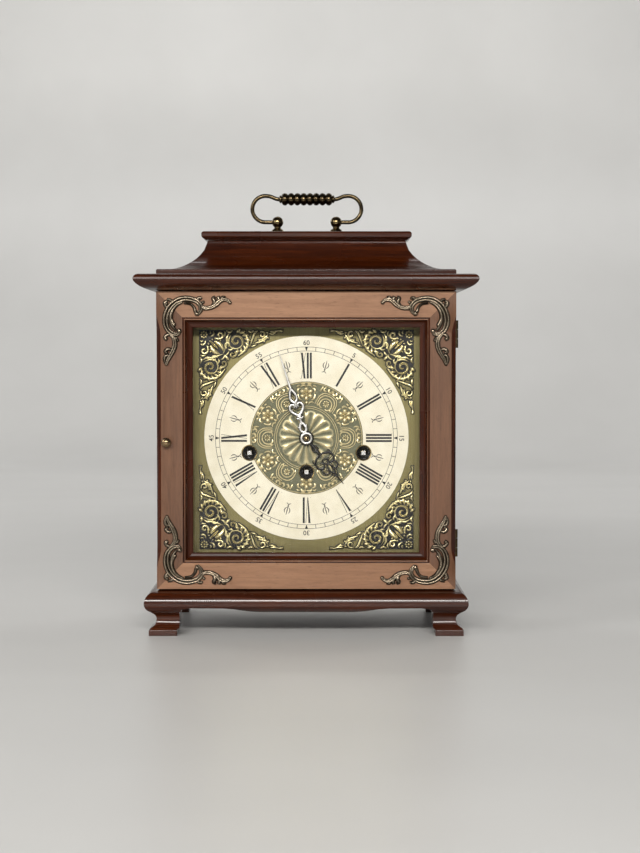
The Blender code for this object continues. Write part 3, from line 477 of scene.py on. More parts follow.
class Relief:
    """Builds one mesh from rounded strokes, beads and flat shapes drawn on an upright face.

    to_world turns (u, v, height) in millimetres into a point of the clock; u runs right,
    v up and height out of the face, unless the caller's to_world says otherwise.
    """

    def __init__(self, to_world):
        self.bm = bmesh.new()
        self.to_world = to_world

    def point(self, u, v, height):
        return self.bm.verts.new(self.to_world(u, v, height))

    def stroke(self, points, base=0.0, tall=1.0, sides=8, per=5, smooth=True):
        """A rounded bar through (u, v, half width) points; tall is its height over its half width."""
        route = curved(points, per) if smooth else [Vector(point) for point in points]
        rings = []
        for index, here in enumerate(route):
            run = direction(route, index)
            half = max(here.z, 0.05)
            ring = []
            for side in range(sides):
                angle = TURN * side / sides
                across, up = half * math.cos(angle), math.sin(angle)
                height = base + half * tall * (0.45 + up * (1.0 if up > 0 else 0.6))
                ring.append(self.point(here.x - run.y * across, here.y + run.x * across, height))
            rings.append(ring)
        close_rings(self.bm, rings)

    def ribbon(self, points, extra, base, top, per=4):
        """A flat strip under a stroke, wider than it by extra on each side and past its ends."""
        route = curved(points, per)
        rings = []
        for index, here in enumerate(route):
            run = direction(route, index)
            past = extra * ((index == len(route) - 1) - (index == 0))
            half = here.z + extra
            u, v = here.x + run.x * past, here.y + run.y * past
            rings.append([self.point(u - run.y * side * half, v + run.x * side * half, height)
                          for side, height in ((-1, base), (1, base), (1, top), (-1, top))])
        close_rings(self.bm, rings)

    def bead(self, u, v, radius, base=0.0, tall=1.0, steps=10):
        """A low dome."""
        rings = []
        for level in (0.0, 30.0, 60.0, 90.0):
            reach, rise = math.cos(math.radians(level)), math.sin(math.radians(level))
            around = circle((u, v), radius * reach, steps) if level < 90.0 else [(u, v)]
            rings.append([self.point(*place, base + radius * tall * rise) for place in around])
        close_rings(self.bm, rings)

    def slab(self, outline, base, top):
        """A flat plate with the given outline of (u, v) points."""
        close_rings(self.bm, [[self.point(u, v, height) for u, v in outline] for height in (base, top)])

    def band(self, inner, outer, base, top, steps=180, rounded=False):
        """A flat or rounded ring about (0, 0)."""
        section = [(inner, base), (outer, base)]
        if rounded:
            middle, half = (inner + outer) / 2, (outer - inner) / 2
            section += [(middle + half * math.cos(math.radians(a)),
                         base + (top - base) * math.sin(math.radians(a))) for a in (35, 90, 145)]
        else:
            section += [(outer, top), (inner, top)]
        rings = []
        for along, up in circle((0.0, 0.0), 1.0, steps):
            rings.append([self.point(radius * along, radius * up, height) for radius, height in section])
        for index in range(steps):
            bridge_rings(self.bm, rings[index], rings[(index + 1) % steps])

    def mesh(self, smooth=True):
        return finished_mesh(self.bm, 50 if smooth else None)


def ridged(points, gap, half):
    """Two ridges side by side, gap apart at their widest, that run together where the stroke thins."""
    widest = max(point[2] for point in points)
    pair = []
    for side in (-1, 1):
        ridge = []
        for index, (u, v, wide) in enumerate(points):
            run = direction(points, index)
            out = side * gap / 2 * wide / widest
            ridge.append((u - run.y * out, v + run.x * out, half * (0.55 + 0.45 * wide / widest)))
        pair.append(ridge)
    return pair


def fan(centre, inner, outer, start, end, count, half, lean=16.0):
    """Leaf lobes spread along an arc, each leaning the way the arc runs: (u, v, half width) strokes."""
    lobes = []
    lean = math.copysign(lean, end - start)
    for index in range(count):
        part = index / max(count - 1, 1)
        angle = start + (end - start) * part
        reach = (outer - inner) * (0.55 + 0.45 * math.sin(HALF_TURN * (0.15 + 0.7 * part)))
        lobe = []
        for step, wide in ((0.0, 0.3), (0.35, 0.8), (0.7, 1.0), (1.0, 0.3)):
            radius = inner + reach * step
            turn = math.radians(angle + lean * (step - 0.3))
            u, v = centre[0] + radius * math.cos(turn), centre[1] + radius * math.sin(turn)
            lobe.append((u, v, half * wide))
        lobes.append(lobe)
    return lobes


def curved(points, per):
    """Points along a smooth curve through the given ones (a Catmull-Rom spline)."""
    route = [Vector(point) for point in points]
    if len(route) < 3:
        return route
    padded = [2 * route[0] - route[1]] + route + [2 * route[-1] - route[-2]]
    result = []
    for index in range(1, len(padded) - 2):
        a, b, c, d = padded[index - 1:index + 3]
        for step in range(per):
            t = step / per
            result.append(0.5 * (2 * b + (c - a) * t + (2 * a - 5 * b + 4 * c - d) * t * t
                                 + (3 * b - a - 3 * c + d) * t ** 3))
    result.append(route[-1])
    return result


def spiral(centre, start, turn, outer, inner, wide, thin, steps=14):
    """(u, v, half width) points of a scroll, from its outer end in to its eye."""
    points = []
    for step in range(steps + 1):
        part = step / steps
        angle = math.radians(start + turn * part)
        radius = outer + (inner - outer) * part ** 0.8
        half = thin + (wide - thin) * math.sin(HALF_TURN * min(1.0, 0.25 + part * 0.75))
        points.append((centre[0] + radius * math.cos(angle), centre[1] + radius * math.sin(angle), half))
    return points


def moved(points, turn=0.0, mirror=False):
    """Stroke points turned clockwise by degrees about (0, 0), mirrored first if asked."""
    cos, sin = math.cos(math.radians(turn)), math.sin(math.radians(turn))
    result = []
    for point in points:
        u, v = (-point[0] if mirror else point[0]), point[1]
        result.append((u * cos + v * sin, v * cos - u * sin, *point[2:]))
    return result


def on_dial(face):
    """Dial coordinates, centred on the hands, at a face of the dial."""
    return lambda u, v, height: (DIAL_X + u * MM, face - height * MM, DIAL_Z + v * MM)


# ---- Chapter ring ----

NUMERALS = ["XII", "I", "II", "III", "IIII", "V", "VI", "VII", "VIII", "IX", "X", "XI"]
NUMERAL_LOW, NUMERAL_HIGH = 48.0, 68.8
THICK, THIN = 1.62, 0.36
PITCH = {"I": 2.45, "V": 4.4, "X": 4.6}
TRACK = (70.2, 73.4)
PRINTED = (-0.02, 0.06)         # heights of the print's underside and face


def bar(u_low, u_high, v_low, v_high, width):
    """A straight stroke, as an outline, from its foot to its head."""
    half = width / 2
    return [(u_low - half, v_low), (u_low + half, v_low), (u_high + half, v_high), (u_high - half, v_high)]


def letter_bars(letter, centre):
    """The strokes of one letter; a V's thick stroke narrows to its point."""
    low, high = NUMERAL_LOW, NUMERAL_HIGH
    if letter == "I":
        return [bar(centre, centre, low, high, THICK)]
    if letter == "V":
        wedge = [(centre - 0.15, low), (centre + 0.35, low), (centre - 0.35, high), (centre - 2.05, high)]
        return [wedge, bar(centre + 0.2, centre + 1.8, low, high, THIN)]
    return [bar(centre + 1.0, centre - 1.2, low, high, THICK),
            bar(centre - 1.6, centre + 1.7, low, high, THIN)]


def draw_numeral(relief, text, turn):
    """A numeral standing on the ring's inner edge, with a serif at both ends of its outer strokes."""
    total = sum(PITCH[letter] for letter in text)
    across = -total / 2
    for letter in text:
        for outline in letter_bars(letter, across + PITCH[letter] / 2):
            relief.slab(moved(outline, turn), *PRINTED)
        across += PITCH[letter]
    for v in (NUMERAL_LOW, NUMERAL_HIGH):
        relief.slab(moved(bar(-total / 2, -total / 2 + 0.01, v - 0.15, v + 0.15, 0.4), turn), *PRINTED)


def draw_half_hour(relief, turn):
    """The small ornament between two hours: a stem in two curls, a diamond and a forked foot."""
    lines = [[(0.0, 57.6, 0.2), (0.0, 61.0, 0.28), (0.0, 64.4, 0.12)]]
    for side in (-1, 1):
        lines.append([(side * 0.5, 57.9, 0.12), (side * 1.9, 59.4, 0.26), (side * 2.2, 61.2, 0.24),
                      (side * 1.5, 62.8, 0.12)])
        lines.append([(0.0, 56.2, 0.15), (side * 0.8, 55.0, 0.22), (side * 1.9, 54.6, 0.12)])
    for line in lines:
        relief.stroke([(u, v, 1.35 * half) for u, v, half in moved(line, turn)], -0.03, 0.25, 6, 4)
    relief.slab(moved([(0.0, 56.0), (0.75, 57.0), (0.0, 58.0), (-0.75, 57.0)], turn), *PRINTED)


def make_ring_print():
    """Numerals and five-minute marks in black, the minute track and small ornament finer."""
    low, high = TRACK
    bold = Relief(on_dial(RING_FACE))
    thin = Relief(on_dial(RING_FACE))
    for hour, text in enumerate(NUMERALS):
        draw_numeral(bold, text, hour * 30)
        bold.slab(moved([(0.0, low - 0.2), (1.25, high), (-1.25, high)], hour * 30), *PRINTED)
        draw_half_hour(thin, hour * 30 + 15)
    for radius in TRACK:
        thin.band(radius - 0.17, radius + 0.17, *PRINTED)
    for minute in range(60):
        if minute % 5:
            thin.slab(moved(bar(0.0, 0.0, low, high, 0.42), minute * 6), *PRINTED)
    add_piece("ring_numerals", bold.mesh(False), PRINT, "case")
    add_piece("ring_track", thin.mesh(False), FINE_PRINT, "case")


def make_minute_figures():
    """The figures 5 to 60 outside the track, each with its foot towards the dial's middle."""
    radius, thickness = 76.6 * MM, 0.03 * MM
    for number in range(5, 65, 5):
        text = bpy.data.curves.new("figure", "FONT")
        text.body = str(number)
        text.size = 5.4 * MM
        text.align_x = "CENTER"
        text.align_y = "CENTER"
        text.extrude = thickness
        text.offset = 0.06 * MM
        text.resolution_u = 3
        maker = bpy.data.objects.new("figure_maker", text)
        bpy.context.scene.collection.objects.link(maker)
        angle = math.radians(number * 6)
        maker.rotation_euler = (math.radians(90), angle, 0.0)
        maker.location = (DIAL_X + radius * math.sin(angle), RING_FACE - thickness,
                          DIAL_Z + radius * math.cos(angle))
        bpy.context.view_layer.update()
        evaluated = maker.evaluated_get(bpy.context.evaluated_depsgraph_get())
        mesh = bpy.data.meshes.new_from_object(evaluated)
        mesh.transform(maker.matrix_world)
        bpy.data.objects.remove(maker)
        add_piece(f"minute_figure_{number}", mesh, FINE_PRINT, "case")


# ---- Centre disc ----

def clear_of_holes(u, v, margin=HOLE_CLEAR):
    return all(math.hypot(u - x, v - z) > margin for x, z in WINDING_HOLES)


def open_arcs(radius, half=0.36):
    """A circle round the disc, as strokes that stop at the winding holes."""
    runs = [[]]
    steps = 240
    for step in range(steps + 1):
        angle = HALF_TURN + TURN * step / steps
        u, v = radius * math.sin(angle), radius * math.cos(angle)
        if clear_of_holes(u, v, ARC_CLEAR):
            runs[-1].append((u, v, half))
        elif runs[-1]:
            runs.append([])
    return [run for run in runs if len(run) > 1]


def flower(relief, centre, radius, petals, turn, base=0.05):
    """A rosette of full petals round a button."""
    wide = radius * min(0.34, 1.75 / petals)
    for petal in range(petals):
        angle = math.radians(turn + 360 * petal / petals)
        route = []
        for part, half in ((0.22, 0.35), (0.45, 0.85), (0.74, 1.0), (0.94, 0.6)):
            route.append((centre[0] + radius * part * math.cos(angle),
                          centre[1] + radius * part * math.sin(angle), wide * half))
        if clear_of_holes(*route[-1][:2]):
            relief.stroke(route, base, 0.62, 8, 3)
    if clear_of_holes(*centre):
        relief.bead(centre[0], centre[1], radius * 0.2, base, 2.2)


def draw_sunburst(relief, flutes=16, hub=6.4, rim=22.6):
    """Fluted rays that end in round lobes."""
    steps = flutes * 12
    rings = [[relief.point(0.0, 0.0, 0.02)]]
    for part in (0.0, 0.3, 0.6, 0.85, 0.96, 1.0):
        ring = []
        for step in range(steps):
            angle = TURN * step / steps
            swell = abs(math.sin(angle * flutes / 2))
            radius = hub + (rim - 1.5 + 1.5 * swell ** 0.5 - hub) * part
            if part < 0.9:
                rise = (0.25 + 0.75 * radius / rim) * (1.0 - swell ** 0.8)
            else:
                rise = 0.28 * swell ** 0.5 if part < 1.0 else 0.0
            ring.append(relief.point(radius * math.sin(angle), radius * math.cos(angle), 0.12 + rise))
        rings.append(ring)
    for first, second in zip(rings, rings[1:]):
        bridge_rings(relief.bm, first, second)


# Ornament round a small rosette, and round a large flower: (height factor, points), each drawn
# with its mirror image. The line up the middle of each is its own mirror image.
ROSETTE_LINES = [
    (0.9, [(1.2, 27.4, 0.25), (3.0, 27.3, 0.45), (4.6, 28.7, 0.5), (4.8, 31.4, 0.45), (3.9, 33.8, 0.4),
           (1.8, 35.4, 0.4), (0.0, 35.8, 0.35)]),
    (0.9, [(6.4, 27.6, 0.3), (6.6, 30.6, 0.4), (6.3, 34.0, 0.42), (4.0, 37.2, 0.4), (0.1, 38.2, 0.35)]),
    (0.9, [(8.0, 27.4, 0.3), (8.1, 31.2, 0.36), (7.6, 35.2, 0.36), (4.9, 38.8, 0.34), (0.1, 39.8, 0.3)]),
    (1.0, [(4.6, 29.2, 0.4), (5.6, 28.0, 0.5), (5.2, 26.9, 0.35)]),
    (1.0, [(0.5, 41.6, 0.4), (2.2, 41.0, 0.6), (3.6, 42.0, 0.6), (3.0, 43.6, 0.4)]),
    (1.0, [(4.7, 40.6, 0.35), (6.3, 40.2, 0.6), (7.4, 41.4, 0.6), (6.4, 43.2, 0.4)]),
    (1.0, [(9.0, 38.2, 0.35), (9.2, 40.4, 0.55), (8.8, 42.6, 0.4)]),
]
ROSETTE_MIDDLE = [(0.0, 40.8, 0.4), (0.0, 42.6, 0.95), (0.0, 44.2, 0.3)]
FLOWER_LINES = [
    (1.0, [(1.6, 27.2, 0.35), (2.4, 28.6, 0.55), (4.4, 29.2, 0.5), (5.6, 28.2, 0.35)]),
    (1.0, [(3.9, 30.8, 0.35), (5.5, 31.4, 0.6), (6.6, 33.4, 0.5), (6.9, 35.4, 0.3)]),
    (1.0, [(6.1, 36.6, 0.3), (7.0, 38.0, 0.6), (6.4, 39.8, 0.5), (4.9, 40.2, 0.35)]),
    (1.0, [(0.4, 42.0, 0.4), (1.9, 42.7, 0.65), (3.7, 42.2, 0.55), (4.6, 41.0, 0.3)]),
    (1.0, [(5.2, 42.0, 0.3), (6.6, 42.2, 0.5), (7.8, 41.4, 0.3)]),
    (1.0, [(1.0, 44.1, 0.3), (2.6, 43.9, 0.4), (4.2, 43.6, 0.3)]),
]
FLOWER_MIDDLE = [(0.0, 27.2, 0.35), (0.0, 28.6, 0.7), (0.0, 30.2, 0.3)]


def make_disc():
    """Embossed border of flowers and scallops, and a fluted sunburst in a double ring."""
    relief = Relief(on_dial(DISC_FACE))
    draw_sunburst(relief)
    for radius in (24.2, 25.7, DISC_RADIUS - 0.45):
        for run in open_arcs(radius):
            relief.stroke(run, 0.05, 1.5, 6, smooth=False)
    for turn in range(30, 390, 60):
        for at, lines, middle, radius, size, petals, lean in (
                (turn, ROSETTE_LINES, ROSETTE_MIDDLE, 31.6, 3.1, 8, 0),
                (turn + 30, FLOWER_LINES, FLOWER_MIDDLE, 35.8, 5.8, 6, 30)):
            flower(relief, moved([(0.0, radius)], at)[0], size, petals, at + lean)
            drawn = [(0.9, moved(middle, at))]
            drawn += [(tall, moved(line, at, mirror)) for tall, line in lines for mirror in (False, True)]
            for tall, line in drawn:
                if all(clear_of_holes(u, v) for u, v, _ in line):
                    bolder = [(u, v, DISC_WEIGHT * half) for u, v, half in line]
                    relief.stroke(bolder, 0.05, tall, 6, 3)
    finish = brass("disc_brass", (0.15, 0.15, 0.095), (0.66, 0.56, 0.32), 0.34, (DISC_FACE, 0.75 * MM), 0.65)
    paint("centre_disc", finish)
    add_piece("disc_relief", relief.mesh(), finish, "case")


def make_grommets():
    """A thin bright rim round each winding hole, and down inside it a black lining of painted shade."""
    for train in TRAINS:
        node = f"winding_grommet_{train}"
        low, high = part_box(node)
        centre = ((low.x + high.x) / 2, (low.z + high.z) / 2)
        outer = (high.x - low.x) / 2
        inside = outer - 0.55 * MM
        bore = outer - 1.25 * MM
        end = high.y + 1.0 * MM
        rim = [(outer, high.y), (outer, low.y + 0.25 * MM), (outer - 0.15 * MM, low.y + 0.05 * MM),
               (outer - 0.3 * MM, low.y), (inside, low.y + 0.15 * MM), (inside, high.y)]
        # The black lining is painted shade: a dark sheet where the inside of the hole gets little light.
        shade_lining = [(inside, high.y), (inside, low.y + 0.35 * MM), (inside - 0.3 * MM, low.y + 0.45 * MM),
               (bore, low.y + 0.9 * MM), (WINDING_CLEARANCE, low.y + 1.7 * MM), (WINDING_CLEARANCE, end),
               (bore - 0.2 * MM, end), (bore, high.y)]
        stand_in(node, "rim", turned_mesh(rim, centre, False, True, 56), BRIGHT_BRASS)
        add_black(node + "_shade_lining", turned_mesh(shade_lining, centre, False, True, 56), node)


def make_hand_nut():
    """A small domed nut over the end of the hand arbor."""
    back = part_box("hand_nut")[1].y
    dome = [(0.0, 2.2), (0.7, 2.12), (1.35, 1.8), (1.85, 1.25), (2.15, 0.5), (2.15, 0.0), (0.0, 0.0)]
    profile = [(radius * MM, back - forward * MM) for radius, forward in dome]
    stand_in("hand_nut", "domed", turned_mesh(profile, (DIAL_X, DIAL_Z), upright=False), NUT_BRASS)


# ---- Spandrels ----

def spandrel_strokes():
    """Half of one spandrel's scrollwork, from its right-angled corner; the rest is its mirror image.

    Each entry is (points, height factor). u runs along the dial's side and v up it.
    """
    great = (9.4, 30.4)
    strokes = [
        (spiral(great, 60, 430, 5.6, 1.0, 1.0, 0.4), 1.2),
        (spiral(great, 250, 250, 7.4, 5.0, 0.55, 0.35, 10), 1.0),
        ([(2.2, 31.0, 0.5), (3.2, 36.4, 0.8), (7.6, 39.4, 1.0), (13.2, 39.4, 0.9), (17.6, 36.6, 0.9),
          (21.4, 31.8, 0.6)], 0.8),
        (spiral((20.2, 27.4), 140, -400, 2.9, 0.7, 0.7, 0.3, 10), 1.2),
        ([(17.4, 33.0, 0.4), (18.6, 31.0, 0.7), (21.6, 30.2, 0.4)], 1.1),
        ([(1.4, 67.8, 1.0), (1.2, 64.4, 0.5), (2.0, 61.0, 0.8), (1.8, 57.6, 0.5)], 1.1),
        ([(2.6, 62.4, 0.4), (3.6, 59.6, 0.8), (3.4, 56.6, 0.4)], 1.1),
        (spiral((4.4, 51.2), 210, -400, 2.9, 0.7, 0.75, 0.3, 10), 1.1),
        ([(3.6, 56.0, 0.4), (6.6, 54.0, 0.8), (8.2, 50.6, 0.6), (8.0, 47.6, 0.3)], 1.1),
        ([(6.0, 56.2, 0.3), (8.4, 53.4, 0.6), (10.0, 49.6, 0.8), (11.2, 45.4, 0.5)], 1.0),
        ([(12.0, 47.0, 0.3), (13.2, 44.6, 0.7), (13.8, 42.2, 0.4)], 1.1),
        ([(1.2, 48.0, 0.4), (2.8, 45.4, 0.9), (7.2, 43.6, 0.8), (12.0, 42.0, 0.5), (14.6, 41.2, 0.3)], 1.0),
        ([(1.0, 44.6, 0.4), (2.2, 42.4, 0.9), (1.4, 39.8, 0.5)], 1.1),
        ([(1.0, 27.4, 0.4), (2.4, 25.0, 1.0), (1.2, 22.4, 0.5)], 1.1),
        ([(3.4, 24.6, 0.4), (7.0, 22.6, 0.8), (11.0, 23.0, 0.7), (15.4, 21.4, 0.6), (19.4, 20.0, 0.4)], 1.1),
        ([(4.2, 26.2, 0.3), (8.4, 24.4, 0.6), (12.6, 25.0, 0.6), (15.8, 26.8, 0.4)], 1.0),
        ([(14.6, 28.6, 0.4), (16.6, 26.0, 0.7), (16.0, 23.8, 0.4)], 1.1),
        (spiral((4.6, 17.2), -30, 400, 3.2, 0.8, 0.9, 0.35, 12), 1.1),
        ([(1.4, 20.4, 0.4), (2.8, 21.4, 0.7), (5.6, 21.0, 0.5)], 1.0),
        (spiral((23.6, 12.6), 110, 380, 2.8, 0.7, 0.75, 0.3, 12), 1.1),
        ([(1.6, 11.8, 0.6), (3.4, 12.4, 0.8), (5.2, 11.2, 0.6), (5.6, 9.2, 0.4)], 1.1),
        ([(1.2, 9.0, 0.4), (2.4, 9.8, 0.6), (3.8, 9.2, 0.4)], 1.1),
        ([(6.6, 13.0, 0.4), (7.6, 15.4, 0.7), (7.2, 18.6, 0.4)], 1.1),
        ([(24.6, 17.4, 0.3), (23.4, 19.8, 0.7), (21.0, 21.4, 0.4)], 1.1),
        ([(23.0, 24.6, 0.4), (24.4, 23.4, 0.7)], 1.2),
    ]
    strokes += [(lobe, 1.0) for lobe in fan(great, 6.2, 11.6, 172, 8, 8, 1.05)]
    strokes += [(lobe, 1.0) for lobe in fan((4.8, 51.0), 3.4, 6.4, 120, -20, 4, 0.7)]
    return strokes


def spandrel_middle(relief, place):
    """The parts on the diagonal: the corner rosette, a bead string and a pair of plain leaves."""
    rosette, string = (4.3, 4.3), (13.6, 13.6)
    for petal in circle(rosette, 2.4, 8):
        relief.bead(*place(*petal), 0.95, 0.0, 1.2, 8)
    relief.bead(*place(*rosette), 1.0, 0.0, 1.9, 8)
    for step in range(9):
        angle = math.radians(132 + 22.6 * step)
        u, v = string[0] + 6.0 * math.cos(angle), string[1] + 6.0 * math.sin(angle)
        relief.bead(*place(u, v), 0.8, 0.0, 1.4, 8)
    leaf = [(9.6, 13.2, 0.9), (11.6, 16.6, 1.7), (14.6, 19.0, 1.3), (17.6, 20.0, 0.3)]
    mirrored = [(v, u, half) for u, v, half in leaf]
    inner = [(9.0, 9.0, 0.4), (12.2, 12.2, 1.0), (15.6, 15.6, 0.4)]
    tip = [(20.4, 20.4, 0.4), (22.6, 22.6, 1.0), (24.6, 24.6, 0.5)]
    for line, base, tall in ((leaf, 0.1, 0.75), (mirrored, 0.1, 0.75), (inner, 0.1, 1.3), (tip, 0.0, 1.0)):
        relief.stroke([(*place(u, v), half) for u, v, half in line], base, tall)


def make_spandrels():
    """Brass scrollwork over a black ground whose edge follows the scrolls."""
    half_middle = [(0.4, 0.4), (33.0, 0.6), (38.0, 3.0), (38.6, 8.0), (31.0, 15.4), (25.2, 22.0)]
    middle = half_middle + [(v, u) for u, v in half_middle[:0:-1]]
    for node in named("spandrel_"):
        low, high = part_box(node)
        side = 1 if (low.x + high.x) / 2 > DIAL_X else -1
        end = 1 if (low.z + high.z) / 2 > DIAL_Z else -1
        corner_u = ((high.x if side > 0 else low.x) - DIAL_X) / MM - side * SPANDREL_INSET
        corner_v = ((high.z if end > 0 else low.z) - DIAL_Z) / MM - SPANDREL_DROP

        def place(u, v, side=side, end=end, corner_u=corner_u, corner_v=corner_v):
            return corner_u - side * u, corner_v - end * v

        floor = low.y + 0.2 * MM
        relief = Relief(on_dial(floor))
        ground = Relief(on_dial(high.y))
        level = 0.60
        for points, tall in spandrel_strokes():
            for swap in (False, True):
                drawn = [(*(place(v, u) if swap else place(u, v)), half) for u, v, half in points]
                relief.stroke(drawn, 0.0, tall, 8, 3)
                ground.ribbon(drawn, 0.62, 0.0, level)
                level += 0.002
        ground.slab([place(u, v) for u, v in middle], 0.0, 0.58)
        spandrel_middle(relief, place)
        stand_in(node, "ground", ground.mesh(False), BLACK)
        finish = brass(node + "_brass", (0.06, 0.048, 0.018), (0.92, 0.80, 0.42), 0.26,
                       (floor, 1.25 * MM), 0.75)
        add_piece(node + "_scrolls", relief.mesh(), finish, "case")


# ---- Hands ----

def hand_face(node, angle):
    """Hand coordinates: u across, v out from the centre, turned to the time the hand shows."""
    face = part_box(node)[1].y
    cos, sin = math.cos(math.radians(angle)), math.sin(math.radians(angle))

    def to_world(u, v, height):
        return (DIAL_X + (u * cos + v * sin) * MM, face - height * MM, DIAL_Z + (v * cos - u * sin) * MM)
    return to_world


MINUTE_PAIRS = [                # drawn with their mirror images
    [(0.3, 5.0, 0.8), (2.0, 6.6, 0.8), (2.4, 9.0, 0.85), (1.2, 11.8, 0.8), (0.0, 13.0, 0.9)],
    [(2.1, 8.8, 0.6), (3.1, 9.8, 0.35), (3.5, 10.8, 0.15)],
    [(0.0, 16.6, 0.7), (1.5, 16.8, 0.55), (2.6, 17.6, 0.25)],
    [(0.0, 18.2, 0.7), (1.3, 18.6, 0.5), (2.1, 18.2, 0.2)],
    [(0.2, 19.4, 0.85), (2.8, 21.4, 0.85), (5.2, 24.6, 0.85), (5.2, 27.6, 0.8), (3.2, 29.2, 0.75),
     (1.3, 27.8, 0.6), (1.9, 26.2, 0.4)],
    [(0.2, 29.8, 0.85), (2.3, 32.4, 0.8), (2.6, 35.6, 0.78), (1.4, 39.0, 0.78), (0.2, 41.8, 0.85)],
]
MINUTE_MIDDLE = [
    [(0.0, 12.4, 0.9), (0.0, 15.0, 0.8), (0.0, 17.0, 1.1), (0.0, 19.5, 0.9)],
    [(0.0, 25.4, 0.3), (0.0, 27.6, 0.85), (0.0, 30.4, 1.1)],
]
MINUTE_TIP = [(0.0, 41.0, 1.0), (0.0, 46.0, 0.85), (0.0, 55.0, 0.6), (0.0, 65.0, 0.42), (0.0, 72.5, 0.2)]
MINUTE_WEIGHT = 1.12
HOUR_PAIRS = [
    [(0.4, 8.0, 0.6), (2.2, 9.8, 0.6), (2.0, 12.4, 0.55), (0.6, 13.8, 0.5)],
    [(0.0, 17.4, 0.8), (3.4, 18.0, 0.8), (7.2, 20.4, 0.85), (8.0, 24.6, 0.85), (5.6, 27.6, 0.8),
     (2.6, 26.4, 0.65), (2.9, 23.4, 0.55), (4.9, 23.2, 0.4)],
    [(7.6, 21.0, 0.5), (8.4, 18.8, 0.5), (7.0, 17.4, 0.35)],
    [(0.2, 21.6, 0.6), (1.9, 22.8, 0.5), (1.2, 25.4, 0.5), (0.2, 27.0, 0.6)],
    [(5.4, 27.4, 0.7), (6.8, 29.6, 0.75), (6.0, 32.6, 0.7), (3.4, 33.4, 0.6), (2.4, 31.2, 0.5),
     (3.7, 30.2, 0.4)],
    [(0.3, 26.6, 0.7), (1.7, 29.6, 0.6), (1.6, 33.0, 0.6), (0.3, 36.6, 0.7)],
    [(3.2, 33.2, 0.5), (2.6, 36.0, 0.4), (1.0, 38.4, 0.4)],
]
HOUR_MIDDLE = [
    [(0.0, 5.6, 1.5), (0.0, 10.0, 1.1), (0.0, 15.0, 1.2), (0.0, 18.5, 0.9)],
    [(0.0, 35.8, 1.0), (0.0, 40.0, 0.75), (0.0, 44.0, 0.5), (0.0, 47.6, 0.2)],
]
HAND_RISE = 0.45                # height of a hand's strokes over their half width


def with_mirrors(pairs):
    return [[(side * u, v, half) for u, v, half in points] for points in pairs for side in (-1, 1)]


def make_minute_hand():
    """Pierced silver hand with dark edges and its painted shadow on the dial, and a dark collet in its ring.
    """
    face = hand_face("minute_hand", MINUTE_ANGLE)
    relief, edges, collet = Relief(face), Relief(face), Relief(face)
    relief.band(3.1, 4.9, 0.05, 0.58, 48, rounded=True)
    for points in with_mirrors(MINUTE_PAIRS) + MINUTE_MIDDLE + [MINUTE_TIP]:
        drawn = [(u, v, MINUTE_WEIGHT * half) for u, v, half in points]
        relief.stroke(drawn, 0.05, HAND_RISE)
        if points is not MINUTE_TIP:
            # The dark strip under each stroke is the hand's dark edge and, in part, its painted shadow on
            # the dial.
            edges.ribbon(drawn, 0.38, 0.0, 0.12)
    collet.band(1.8, 3.15, 0.05, 0.3, 48)
    add_black("minute_hand_collet", collet.mesh(), "minute_hand")
    add_black("minute_hand_edges_and_shadow", edges.mesh(False), "minute_hand")
    stand_in("minute_hand", "pierced", relief.mesh(), SILVER)


def make_hour_hand():
    relief = Relief(hand_face("hour_hand", HOUR_ANGLE))
    relief.band(2.9, 6.0, 0.02, 0.55, 48, rounded=True)
    for points in with_mirrors(HOUR_PAIRS) + HOUR_MIDDLE:
        relief.stroke(points, 0.0, HAND_RISE)
    stand_in("hour_hand", "pierced", relief.mesh(), BLACK)


# ---- Corner castings ----

